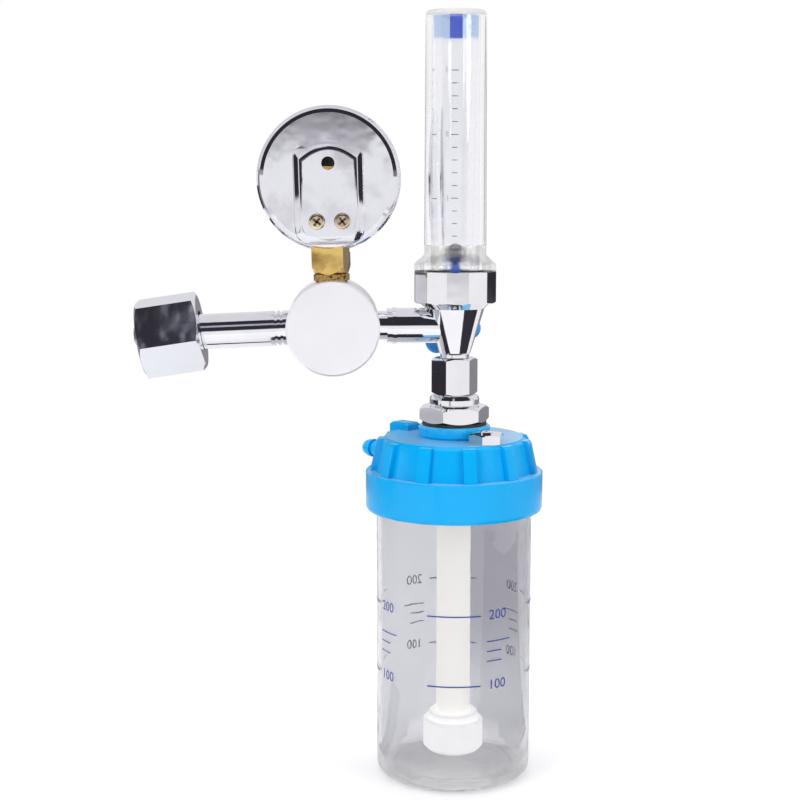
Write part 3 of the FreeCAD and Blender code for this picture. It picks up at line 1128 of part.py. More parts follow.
def make_humidifier_lid():
    """The moulded lid with its boss, ribs, rim, relief boss and hose nozzle."""
    pocket_top_r = LID_RIB_TOP_R - LID_POCKET_DEPTH
    pocket_bottom_r = LID_RIB_BOTTOM_R - LID_POCKET_DEPTH
    shell = lathe([(0, LID_PLATE_TOP), (LID_PLATE_R - 1.4, LID_PLATE_TOP), (pocket_top_r, LID_PLATE_TOP - 1.4),
                   (pocket_bottom_r, LID_RIM_TOP), (LID_RIM_R - 0.5, LID_RIM_TOP), (LID_RIM_R, LID_RIM_TOP - 0.5),
                   (LID_RIM_R, LID_RIM_BOTTOM + LID_RIM_EDGE), (LID_RIM_R - LID_RIM_EDGE * 0.3,
                                                                LID_RIM_BOTTOM + LID_RIM_EDGE * 0.3),
                   (LID_RIM_R - LID_RIM_EDGE, LID_RIM_BOTTOM), (0, LID_RIM_BOTTOM)])
    boss = lathe([(0, LID_BOSS_TOP), (LID_BOSS_R - 0.9, LID_BOSS_TOP), (LID_BOSS_R, LID_BOSS_TOP - 0.9),
                  (LID_BOSS_R, LID_BOSS_TOP - 4.2), (LID_BOSS_R - 0.7, LID_BOSS_TOP - 4.6),
                  (LID_BOSS_R - 0.7, LID_PLATE_TOP - 1), (0, LID_PLATE_TOP - 1)])
    lid = shell.fuse(boss)
    rib_cone = lathe([(LID_PLATE_R - 6, LID_RIM_TOP - 0.2), (LID_RIB_BOTTOM_R, LID_RIM_TOP - 0.2),
                      (LID_RIB_BOTTOM_R, LID_RIM_TOP), (LID_RIB_TOP_R, LID_PLATE_TOP - 2.0),
                      (LID_RIB_TOP_R - 1.0, LID_PLATE_TOP - 0.6), (LID_PLATE_R - 6, LID_PLATE_TOP - 0.6)])
    half = LID_RIB_W / 2
    bar = box(0, LID_RIM_R, -half, half, LID_RIM_TOP - 1, LID_PLATE_TOP + 1)
    for i in range(LID_RIBS):
        angle = -90 + LID_FIRST_RIB + 360.0 * i / LID_RIBS
        rib = rib_cone.common(turned_about(bar, (0, 0, 0), (0, 0, 1), angle))
        lid = lid.fuse(rib)
    lid = lid.cut(lathe([(0, LID_RIM_BOTTOM - 1), (LID_SKIRT_R, LID_RIM_BOTTOM - 1), (LID_SKIRT_R, LID_SKIRT_TOP),
                         (LID_THREAD_R, LID_SKIRT_TOP + 1.4), (LID_THREAD_R, LID_UNDERSIDE),
                         (0, LID_UNDERSIDE)]))
    lid = lid.fuse(moved(rod(RELIEF_BOSS_R, RELIEF_BOSS_LOW, LID_UNDERSIDE + 1), RELIEF_X, RELIEF_Y))
    lid = lid.cut(moved(rod(RELIEF_THREAD_R, RELIEF_BOSS_LOW + RELIEF_FLOOR, 0), RELIEF_X, RELIEF_Y))
    lid = lid.cut(moved(rod(RELIEF_HOLE_R, RELIEF_BOSS_LOW - 1, 0), RELIEF_X, RELIEF_Y))
    lid = lid.fuse(make_duct())
    stem = rod(HOSE_ROOT_R + 1.2, LID_THREAD_R + 0.3, LID_RIM_R - 0.2)
    stem = stem.fuse(rod(HOSE_ROOT_R, LID_THREAD_R + 0.3, NOZZLE_TIP_AT - 1))
    for i in range(HOSE_BARBS):
        end = NOZZLE_TIP_AT - i * HOSE_BARB_LENGTH * 0.86
        start = end - HOSE_BARB_LENGTH * 0.86
        barb = lathe([(0, start), (HOSE_BARB_R, start), (HOSE_BARB_R, start + HOSE_BARB_LAND),
                      (HOSE_ROOT_R, end), (0, end)])
        stem = stem.fuse(barb)
    lid = lid.fuse(nozzle_placed(stem))
    channel_at = LID_THREAD_R + DUCT_BORE_R + 0.5
    lid = lid.cut(nozzle_placed(rod(HOSE_BORE_R, channel_at, NOZZLE_TIP_AT + 1)))
    a = math.radians(NOZZLE_TURN)
    high = DUCT_TOP - DUCT_BORE_R - 0.9
    for at, low in ((channel_at, NOZZLE_Z), (DUCT_IN_AT + DUCT_BORE_R + 1, LID_UNDERSIDE - 1)):
        lid = lid.cut(rod(DUCT_BORE_R, low, high, at * math.cos(a), at * math.sin(a)))
    bridge = rod(DUCT_BORE_R, DUCT_IN_AT + 1, channel_at + DUCT_BORE_R)
    lid = lid.cut(moved(nozzle_placed(bridge), z=high - NOZZLE_Z))
    return lid.cut(rod(FITTING_SHANK_R + FIT_GAP, LID_RIM_BOTTOM, 0))


def make_relief_cap():
    """The hexagon cap over the relief spring, with a vent through its top."""
    cap = hexagon(RELIEF_AF, LID_PLATE_TOP, LID_PLATE_TOP + RELIEF_HEAD, RELIEF_TURN, bottom=False)
    top = LID_PLATE_TOP + RELIEF_HEAD
    cap = cap.fuse(rod(2.6, top - 0.1, top + 0.7))
    cap = cap.fuse(rod(RELIEF_THREAD_R, LID_PLATE_TOP - RELIEF_THREAD_LENGTH, LID_PLATE_TOP + 0.1))
    cap = cap.cut(rod(RELIEF_BORE_R, LID_PLATE_TOP - RELIEF_THREAD_LENGTH - 1, RELIEF_ROOF_Z))
    return moved(cap.cut(rod(RELIEF_VENT_R, -100, 0)), RELIEF_X, RELIEF_Y)


def make_relief_poppet():
    """The disc that closes the relief hole."""
    disc = rod(RELIEF_POPPET_R, RELIEF_SEAT_Z, RELIEF_SEAT_Z + RELIEF_POPPET_THICK)
    disc = disc.fuse(rod(RELIEF_SPRING_R - 0.6, RELIEF_SEAT_Z, RELIEF_SEAT_Z + RELIEF_POPPET_THICK + 1.2))
    return moved(disc, RELIEF_X, RELIEF_Y)


def make_relief_spring():
    """The spring that holds the relief disc down."""
    spring = coil(RELIEF_SPRING_R, RELIEF_SPRING_WIRE_R, RELIEF_SEAT_Z + RELIEF_POPPET_THICK, RELIEF_ROOF_Z,
                  RELIEF_SPRING_TURNS)
    return moved(spring, RELIEF_X, RELIEF_Y)


def make_lid_gasket():
    """The flat seal between the lid and the bottle's lip."""
    top = LID_UNDERSIDE
    return ring(LID_THREAD_R - 0.3, GASKET_INNER_R, top - GASKET_THICK, top)


def make_bottle():
    """The clear bottle: threaded neck, straight wall, round foot and raised floor."""
    lip = BOTTLE_LIP_Z
    wall = BOTTLE_WALL
    foot = BOTTLE_FOOT_R
    neck_inner = BOTTLE_NECK_R - BOTTLE_NECK_WALL
    outer = lathe([(0, BOTTLE_BOTTOM), (BOTTLE_R, BOTTLE_BOTTOM), (BOTTLE_R, BOTTLE_SHOULDER_Z),
                   (BOTTLE_NECK_R, BOTTLE_SHOULDER_Z + 1.6), (BOTTLE_NECK_R, lip), (0, lip)])
    edge = [e for e in outer.Edges if abs(e.CenterOfMass.z - BOTTLE_BOTTOM) < 0.01 and len(e.Vertexes) == 1]
    outer = outer.makeFillet(foot, edge)
    floor = BOTTLE_BOTTOM + BOTTLE_KICK + wall
    inner = lathe([(0, floor), (BOTTLE_R - wall, floor), (BOTTLE_R - wall, BOTTLE_SHOULDER_Z - wall),
                   (neck_inner, BOTTLE_SHOULDER_Z + 1.6 - wall), (neck_inner, lip + 1), (0, lip + 1)])
    edge = [e for e in inner.Edges if abs(e.CenterOfMass.z - floor) < 0.01 and len(e.Vertexes) == 1]
    inner = inner.makeFillet(foot - wall * 0.5, edge)
    kick = Part.makeCone(BOTTLE_KICK_R + BOTTLE_KICK, BOTTLE_KICK_R, BOTTLE_KICK, Vector(0, 0, BOTTLE_BOTTOM))
    return outer.cut(inner).cut(kick)


def make_dip_tube():
    """The wide tube that carries the gas under the water."""
    top = FITTING_SHANK_BOTTOM
    return ring(DIP_R, DIP_BORE_R, DIP_BOTTOM, top)


def make_diffuser():
    """The cup that breaks the gas into bubbles."""
    top = DIFFUSER_TOP
    shoulder = top - DIFFUSER_SHOULDER
    wall = DIFFUSER_WALL
    cup = lathe([(0, DIFFUSER_BOTTOM), (DIFFUSER_R - 1.8, DIFFUSER_BOTTOM), (DIFFUSER_R, DIFFUSER_BOTTOM + 1.8),
                 (DIFFUSER_R, shoulder - 1.0), (DIFFUSER_R - 1.0, shoulder), (DIFFUSER_SHOULDER_R, shoulder),
                 (DIFFUSER_SHOULDER_R, top - 0.8), (DIFFUSER_SHOULDER_R - 0.8, top), (0, top)])
    cup = cup.cut(rod(DIFFUSER_R - wall, DIFFUSER_BOTTOM + wall, DIP_BOTTOM))
    cup = cup.cut(rod(DIP_R, DIP_BOTTOM - 1, top + 1))
    for i in range(DIFFUSER_HOLES):
        a = math.radians(360.0 * i / DIFFUSER_HOLES)
        cup = cup.cut(rod(DIFFUSER_HOLE_R, DIFFUSER_BOTTOM - 1, DIFFUSER_BOTTOM + wall + 1,
                          8.0 * math.cos(a), 8.0 * math.sin(a)))
    return cup


MAKERS = {
    "inlet_stem": make_inlet_stem, "inlet_filter": make_inlet_filter, "inlet_nut": make_inlet_nut,
    "regulator_body": make_regulator_body, "regulator_cover": make_regulator_cover,
    "regulator_piston": make_regulator_piston, "piston_seat": make_seat_disc,
    "piston_ring": make_piston_ring, "piston_spring": make_piston_spring,
    "gauge_case": make_gauge_case, "gauge_socket": make_gauge_socket, "gauge_screws": make_gauge_screws,
    "thread_tape": make_thread_tape, "bourdon_tube": make_bourdon_tube, "tube_tip": make_tube_tip,
    "movement_plates": make_movement_plates, "sector_gear": make_sector_gear,
    "pinion_arbor": make_pinion_arbor, "gauge_link": make_link, "gauge_dial": make_gauge_dial,
    "dial_screws": make_dial_screws, "gauge_pointer": make_gauge_pointer, "gauge_lens": make_gauge_lens,
    "lens_seal": make_lens_seal, "gauge_bezel": make_gauge_bezel,
    "outlet_connector": make_outlet_connector, "flowmeter_body": make_flowmeter_body,
    "valve_bonnet": make_valve_bonnet, "spindle_ring": make_spindle_ring, "valve_spindle": make_valve_spindle,
    "flow_knob": make_flow_knob, "knob_screw": make_knob_screw,
    "tube_cover": make_tube_cover, "metering_tube": make_metering_tube, "tube_plug": make_tube_plug,
    "float_seat": make_float_seat, "tube_gasket": make_tube_gasket, "float_ball": make_float_ball,
    "tail_piece": make_tail_piece, "coupling_nut": make_coupling_nut, "coupling_washer": make_coupling_washer,
    "lid_fitting": make_lid_fitting, "lid_washer": make_lid_washer, "lock_nut": make_lock_nut,
    "humidifier_lid": make_humidifier_lid, "relief_cap": make_relief_cap, "relief_poppet": make_relief_poppet,
    "relief_spring": make_relief_spring, "lid_gasket": make_lid_gasket, "bottle": make_bottle,
    "dip_tube": make_dip_tube, "diffuser": make_diffuser,
}


def main():
    """Make each piece, move it to the inlet's frame and write it."""
    os.makedirs("parts", exist_ok=True)
    for name, maker in MAKERS.items():
        shape = moved(maker(), -ORIGIN.x, -ORIGIN.y, -ORIGIN.z)
        if shape.ShapeType == "Compound" and len(shape.Solids) == 1:
            shape = shape.Solids[0]
        shape.exportStep(os.path.join("parts", name + ".step"))
        print(name, len(shape.Solids), shape.isValid(), round(shape.Volume, 2))


main()
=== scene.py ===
"""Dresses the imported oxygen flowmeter: finishes, printed scales, threads, floor, light and camera."""
import json
import logging
import math
from dataclasses import dataclass, field
from enum import Enum
from typing import Callable

import bmesh
import bpy
from mathutils import Matrix, Vector


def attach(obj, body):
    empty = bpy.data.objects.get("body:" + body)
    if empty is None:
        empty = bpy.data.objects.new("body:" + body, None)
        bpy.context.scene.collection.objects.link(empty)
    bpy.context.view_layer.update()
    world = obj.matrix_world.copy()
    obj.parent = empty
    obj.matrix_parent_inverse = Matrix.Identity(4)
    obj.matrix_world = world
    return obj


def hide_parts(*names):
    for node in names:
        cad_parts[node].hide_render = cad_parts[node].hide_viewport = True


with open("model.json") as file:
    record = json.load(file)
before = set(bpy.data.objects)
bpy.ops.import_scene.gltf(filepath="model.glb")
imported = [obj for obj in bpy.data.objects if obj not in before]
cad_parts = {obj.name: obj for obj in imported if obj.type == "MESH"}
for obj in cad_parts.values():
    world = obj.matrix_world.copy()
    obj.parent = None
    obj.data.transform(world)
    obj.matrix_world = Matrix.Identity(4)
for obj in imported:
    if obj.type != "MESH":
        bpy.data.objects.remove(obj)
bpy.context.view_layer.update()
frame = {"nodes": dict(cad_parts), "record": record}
LOG = logging.getLogger("flowmeter")

Colour = tuple[float, float, float]
Point = tuple[float, float, float]
Socket = bpy.types.NodeSocket
Print = Callable[[float, float, float], Vector]

# The tube's axis, the drum's middle and the gauge's middle in the row frame, in metres
AXIS_X = 0.1234364
DRUM_CENTRE: Point = (0.0724364, 0.0, 0.003036)
GAUGE_CENTRE = Vector((0.0709460, 0.0, 0.0640178))
GAUGE_LEAN = math.radians(1.4)

# How far printed ink stands out, in metres
INK_THICK = 0.00003

# The height that a bump of strength 1 stands for on metal, in metres
METAL_BUMP = 0.0001


def linear(*screen: int) -> Colour:
    """A linear colour from screen values.

    Args:
        *screen: Red, green and blue from 0 to 255.

    Returns:
        The three linear values.
    """
    parts = [value / 255.0 for value in screen]
    return tuple(p / 12.92 if p <= 0.04045 else ((p + 0.055) / 1.055) ** 2.4 for p in parts)


def rgba(colour: Colour) -> tuple[float, float, float, float]:
    """The colour with full alpha."""
    return colour[0], colour[1], colour[2], 1.0


class Body(Enum):
    """The rigid bodies that scene pieces ride on."""

    FIXED = "flowmeter"
    INLET_NUT = "inlet_nut"
    BOTTLE = "bottle"


# Shader node groups

class NodeKit:
    """Small helpers for one node tree."""

    def __init__(self, tree: bpy.types.NodeTree) -> None:
        """Keeps the tree.

        Args:
            tree: The tree that the nodes go into.
        """
        self.tree = tree

    def add(self, kind: str, **values: object) -> bpy.types.Node:
        """A new node with its properties and inputs set.

        Args:
            kind: The node's type name.
            **values: What fill takes.

        Returns:
            The node.
        """
        node = self.tree.nodes.new(kind)
        self.fill(node, **values)
        return node

    def fill(self, node: bpy.types.Node, **values: object) -> None:
        """Sets a node's properties and inputs.

        Args:
            node: The node.
            **values: Properties by name, or values and sockets for inputs, with spaces as underscores.
        """
        for key, value in values.items():
            if hasattr(node, key):
                setattr(node, key, value)
            else:
                self.put(value, node.inputs[key.replace("_", " ")])

    def put(self, value: object, target: Socket) -> None:
        """Gives an input its value, or the socket that feeds it.

        Args:
            value: A value or a socket.
            target: The input.
        """
        if isinstance(value, Socket):
            self.tree.links.new(value, target)
        else:
            target.default_value = value

    def here(self) -> Socket:
        """The piece's own coordinates."""
        return self.add("ShaderNodeTexCoord").outputs["Object"]

    def axes(self, source: Socket) -> dict[str, Socket]:
        """The X, Y and Z of a vector."""
        return dict(self.add("ShaderNodeSeparateXYZ", Vector=source).outputs.items())

    def noise(self, place: Socket, **values: object) -> Socket:
        """A noise that follows a place, with its inputs' values."""
        return self.add("ShaderNodeTexNoise", Vector=place, **values).outputs["Fac"]

    def effect(self, group: bpy.types.NodeTree, **values: object) -> dict[str, Socket]:
        """The outputs of a shared group, with its inputs' values."""
        return dict(self.add("ShaderNodeGroup", node_tree=group, **values).outputs.items())

    def bump(self, shader: bpy.types.Node, height: Socket, distance: float) -> None:
        """Feeds a shader's normal from a height, which is so many metres at 1."""
        node = self.add("ShaderNodeBump", Strength=1.0, Distance=distance, Height=height)
        self.fill(shader, Normal=node.outputs["Normal"])

    def math(self, operation: str, *values: object, clamp: bool = False) -> Socket:
        """The result of a Math node.

        Args:
            operation: The Math node's operation.
            *values: Sockets or numbers.
            clamp: Whether the result is kept from 0 to 1.

        Returns:
            The output socket.
        """
        node = self.add("ShaderNodeMath", operation=operation, use_clamp=clamp)
        for value, target in zip(values, node.inputs):
            self.put(value, target)
        return node.outputs[0]

    def times(self, first: object, second: object) -> Socket:
        """The product of two sockets or numbers."""
        return self.math("MULTIPLY", first, second)

    def scaled(self, source: Socket, factor: float, offset: float) -> Socket:
        """A socket times a factor, plus an offset."""
        return self.math("MULTIPLY_ADD", source, factor, offset)

    def ramp(self, source: Socket, low: float, high: float) -> Socket:
        """A smooth step of a socket, 0 at the low value and 1 at the high one."""
        return self.add("ShaderNodeMapRange", interpolation_type="SMOOTHSTEP", Value=source, From_Min=low,
                        From_Max=high).outputs["Result"]

    def mix(self, factor: object, first: object, second: object) -> Socket:
        """A colour mix of sockets or colours.

        Args:
            factor: A socket or a number.
            first: The colour or socket at factor 0.
            second: The colour or socket at factor 1.

        Returns:
            The output socket.
        """
        node = self.add("ShaderNodeMix", data_type="RGBA")
        for value, index in ((factor, 0), (first, 6), (second, 7)):
            self.put(rgba(value) if isinstance(value, tuple) else value, node.inputs[index])
        return node.outputs[2]


def new_group(name: str, inputs: dict[str, float], outputs: tuple[str, ...]
              ) -> tuple[NodeKit, bpy.types.Node, bpy.types.Node]:
    """An empty shader group with float sockets.

    Args:
        name: The group's name.
        inputs: Input names with their default values.
        outputs: Output names.

    Returns:
        The tree's kit, and its input and output nodes.
    """
    tree = bpy.data.node_groups.new(name, "ShaderNodeTree")
    for label, value in inputs.items():
        socket = tree.interface.new_socket(label, in_out="INPUT", socket_type="NodeSocketFloat")
        socket.default_value = value
    for label in outputs:
        tree.interface.new_socket(label, in_out="OUTPUT", socket_type="NodeSocketFloat")
    kit = NodeKit(tree)
    return kit, kit.add("NodeGroupInput"), kit.add("NodeGroupOutput")


def handling_group() -> bpy.types.NodeTree:
    """Smudges, hairline scratches and a faint waviness for bright and moulded surfaces.

    Returns:
        A group with the outputs Smudge, Scratch and Height.
    """
    outputs = ("Smudge", "Scratch", "Height")
    kit, given, result = new_group("handling", {"Scale": 60.0, "Wave": 1.0}, outputs)
    place = kit.here()
    smudge = kit.noise(place, Scale=given.outputs["Scale"], Detail=4.0, Roughness=0.55)
    stretch = kit.add("ShaderNodeMapping", Vector=place, Scale=(900.0, 900.0, 60.0),
                      Rotation=(0.3, 0.5, 0.2))
    hair = kit.noise(stretch.outputs["Vector"], Scale=1.0, Detail=2.0)
    slow = kit.noise(place, Scale=130.0, Detail=1.0)
    kit.fill(result, Smudge=kit.ramp(smudge, 0.42, 0.70), Scratch=kit.ramp(hair, 0.66, 0.76),
             Height=kit.times(slow, given.outputs["Wave"]))
    return kit.tree


def dust_group() -> bpy.types.NodeTree:
    """Fine specks of dust and grain.

    Returns:
        A group with the outputs Speck and Grain.
    """
    kit, given, result = new_group("dust", {"Scale": 900.0}, ("Speck", "Grain"))
    place = kit.here()
    specks = kit.add("ShaderNodeTexVoronoi", Vector=place, Scale=given.outputs["Scale"])
    near = kit.ramp(specks.outputs["Distance"], 0.16, 0.06)
    sparse = kit.ramp(kit.noise(place, Scale=240.0, Detail=2.0), 0.55, 0.68)
    kit.fill(result, Speck=kit.times(near, sparse), Grain=kit.noise(place, Scale=3200.0, Detail=3.0))
    return kit.tree


def edge_group() -> bpy.types.NodeTree:
    """Worn outer edges, from the mesh's pointiness.

    Returns:
        A group with the output Wear.
    """
    kit, given, result = new_group("edge_wear", {"Low": 0.53, "High": 0.62}, ("Wear",))
    geometry = kit.add("ShaderNodeNewGeometry")
    step = kit.add("ShaderNodeMapRange", Value=geometry.outputs["Pointiness"],
                   From_Min=given.outputs["Low"], From_Max=given.outputs["High"])
    chips = kit.ramp(kit.noise(kit.here(), Scale=420.0, Detail=4.0), 0.40, 0.60)
    kit.fill(result, Wear=kit.math("MULTIPLY", step.outputs["Result"], chips, clamp=True))
    return kit.tree


def turning_group() -> bpy.types.NodeTree:
    """Lathe marks that follow a distance, which is wired in.

    Returns:
        A group with the output Height.
    """
    kit, given, result = new_group("turning", {"Distance": 0.0, "Pitch": 9000.0}, ("Height",))
    phase = kit.times(given.outputs["Distance"], given.outputs["Pitch"])
    jitter = kit.add("ShaderNodeTexNoise", noise_dimensions="1D", W=kit.times(phase, 0.11), Scale=1.0,
                     Detail=2.0)
    kit.fill(result, Height=kit.times(kit.math("SINE", phase), jitter.outputs["Fac"]))
    return kit.tree


@dataclass
class Effects:
    """The shared node groups, built once."""

    handling: bpy.types.NodeTree = field(default_factory=handling_group)
    dust: bpy.types.NodeTree = field(default_factory=dust_group)
    edges: bpy.types.NodeTree = field(default_factory=edge_group)
    turning: bpy.types.NodeTree = field(default_factory=turning_group)


EFFECTS = Effects()


# Finishes

@dataclass(frozen=True)
class Finish:
    """What every finish has: a name and a base colour."""

    name: str
    colour: Colour

    def start(self) -> tuple[bpy.types.Material, NodeKit, bpy.types.Node]:
        """A new material with its kit and its shader.

        Returns:
            The material, its node kit and its Principled shader.
        """
        material = bpy.data.materials.new(self.name)
        material.use_nodes = True
        kit = NodeKit(material.node_tree)
        shader = material.node_tree.nodes["Principled BSDF"]
        return material, kit, shader


@dataclass(frozen=True)
class Metal(Finish):
    """Plated, polished or machined metal with smudges, hairlines and turning marks."""

    roughness: float = 0.06
    smudge: float = 0.10
    wave: float = 0.00002
    tint: Colour = (0.6, 0.6, 0.62)
    tint_amount: float = 0.15
    lathe_axis: str = ""
    lathe_centre: Point = (0.0, 0.0, 0.0)
    lathe_height: float = 0.0
    lathe_pitch: float = 16000.0
    metallic: float = 1.0

    def lathe_distance(self, kit: NodeKit) -> Socket:
        """The distance that the turning marks follow: from the axis on a face, along it on a shaft.

        Args:
            kit: The material's kit.

        Returns:
            The distance in metres.
        """
        shift = kit.add("ShaderNodeVectorMath", operation="SUBTRACT")
        kit.put(kit.here(), shift.inputs[0])
        kit.put(self.lathe_centre, shift.inputs[1])
        parts = kit.axes(shift.outputs[0])
        along = parts.pop(self.lathe_axis)
        squares = [kit.times(part, part) for part in parts.values()]
        radius = kit.math("SQRT", kit.math("ADD", *squares))
        return kit.math("ADD", radius, kit.times(along, 0.7))

    def build(self) -> bpy.types.Material:
        """Builds the material.

        Returns:
            The metal.
        """
        material, kit, shader = self.start()
        touched = kit.effect(EFFECTS.handling, Scale=70.0, Wave=1.0)
        dusty = kit.effect(EFFECTS.dust, Scale=1100.0)
        shade = kit.times(touched["Smudge"], self.tint_amount)
        rough = kit.scaled(touched["Smudge"], self.smudge, self.roughness)
        scratched = kit.math("ADD", rough, kit.times(touched["Scratch"], self.smudge * 0.5))
        uneven = kit.math("ADD", scratched, kit.times(dusty["Speck"], 0.25), clamp=True)
        kit.fill(shader, Base_Color=kit.mix(shade, self.colour, self.tint), Metallic=self.metallic,
                 Roughness=uneven)
        height = kit.times(touched["Height"], self.wave / METAL_BUMP)
        if self.lathe_axis:
            marks = kit.effect(EFFECTS.turning, Distance=self.lathe_distance(kit), Pitch=self.lathe_pitch)
            scored = kit.times(marks["Height"], self.lathe_height / METAL_BUMP)
            height = kit.math("ADD", height, scored)
        kit.bump(shader, height, METAL_BUMP)
        return material


@dataclass(frozen=True)
class Moulded(Finish):
    """Opaque moulded plastic with fine grain, worn edges and specks, with a painted light on its upward
    faces and a painted glow from emission where these are set.
    """

    roughness: float = 0.25
    coat: float = 0.3
    edge: Colour = (0.7, 0.8, 0.9)
    edge_amount: float = 0.25
    grain: float = 0.000004
    deep: Colour = (0.02, 0.1, 0.3)
    deep_amount: float = 0.2
    scatter: float = 0.0
    # glow: the strength of a painted glow, emission in the finish's own colour that lightens it though it
    # is no lamp
    glow: float = 0.0
    gloss: float = 0.5
    # top: the colour of a painted light on upward faces, as if lit from above
    top: Colour = (0.37, 0.64, 0.83)
    top_amount: float = 0.0

    def build(self) -> bpy.types.Material:
        """Builds the material.

        Returns:
            The plastic.
        """
        material, kit, shader = self.start()
        touched = kit.effect(EFFECTS.handling, Scale=45.0, Wave=0.6)
        dusty = kit.effect(EFFECTS.dust, Scale=900.0)
        edges = kit.effect(EFFECTS.edges, Low=0.56, High=0.66)
        worn = kit.times(edges["Wear"], self.edge_amount)
        smudged = kit.times(touched["Smudge"], self.deep_amount)
        shaded = kit.mix(smudged, self.colour, self.deep)
        specked = kit.mix(kit.times(dusty["Speck"], 0.25), shaded, (0.6, 0.62, 0.64))
        shown = kit.mix(worn, specked, self.edge)
        # Painted light: faces that point up are lightened towards the top colour, as if lit from above
        if self.top_amount:
            facing = kit.axes(kit.add("ShaderNodeNewGeometry").outputs["Normal"])
            level = kit.times(kit.ramp(facing["Z"], 0.90, 0.99), self.top_amount)
            shown = kit.mix(level, shown, self.top)
        rough = kit.scaled(touched["Smudge"], 0.12, self.roughness)
        uneven = kit.math("ADD", rough, kit.times(touched["Scratch"], 0.1), clamp=True)
        # The emission is a painted glow wherever glow is set
        kit.fill(shader, Base_Color=shown, Roughness=uneven, Coat_Weight=self.coat, Coat_Roughness=0.08,
                 Specular_IOR_Level=self.gloss, Subsurface_Weight=self.scatter,
                 Subsurface_Radius=(0.003, 0.003, 0.003), Emission_Color=rgba(self.colour),
                 Emission_Strength=self.glow)
        height = kit.math("ADD", dusty["Grain"], touched["Height"])
        kit.bump(shader, height, self.grain)
        return material


@dataclass(frozen=True)
class Clear(Finish):
    """Clear moulded plastic with a faint tint, fine ripples and smudges, thinner at its rims."""

    roughness: float = 0.01
    ior: float = 1.49
    ripple: float = 0.00003
    haze: float = 0.05
    low_z: float = -1.0
    high_z: float = 1.0
    rim_soft: float = 0.0004
    rim_alpha: float = 1.0

    def build(self) -> bpy.types.Material:
        """Builds the material.

        Returns:
            The clear plastic.
        """
        material, kit, shader = self.start()
        touched = kit.effect(EFFECTS.handling, Scale=38.0, Wave=1.0)
        darker = tuple(c * 0.94 for c in self.colour)
        tinted = kit.mix(kit.times(touched["Smudge"], 0.25), self.colour, darker)
        rough = kit.scaled(touched["Smudge"], self.haze, self.roughness)
        kit.fill(shader, Base_Color=tinted, Roughness=rough, Transmission_Weight=1.0, IOR=self.ior)
        kit.bump(shader, touched["Height"], self.ripple)
        if self.rim_alpha < 1.0:
            height = kit.axes(kit.here())["Z"]
            above = kit.ramp(height, self.high_z, self.high_z + self.rim_soft)
            below = kit.ramp(height, self.low_z, self.low_z - self.rim_soft)
            rim = kit.scaled(kit.math("MAXIMUM", above, below), self.rim_alpha - 1.0, 1.0)
            kit.fill(shader, Alpha=rim)
        return material


@dataclass(frozen=True)
class Matt(Finish):
    """Rubber, sealant, enamel, ink or painted shade: a matt colour broken up by noise."""

    second: Colour = (0.1, 0.1, 0.1)
    roughness: float = 0.6
    scale: float = 300.0
    grain: float = 0.00002
    low: float = 0.40
    high: float = 0.65

    def build(self) -> bpy.types.Material:
        """Builds the material.

        Returns:
            The matt finish.
        """
        material, kit, shader = self.start()
        dusty = kit.effect(EFFECTS.dust, Scale=1300.0)
        patches = kit.noise(kit.here(), Scale=self.scale, Detail=4.0)
        broken = kit.mix(kit.ramp(patches, self.low, self.high), self.colour, self.second)
        rough = kit.scaled(patches, 0.2, self.roughness - 0.1)
        kit.fill(shader, Base_Color=broken, Roughness=rough)
        height = kit.math("ADD", patches, kit.times(dusty["Grain"], 0.3))
        kit.bump(shader, height, self.grain)
        return material


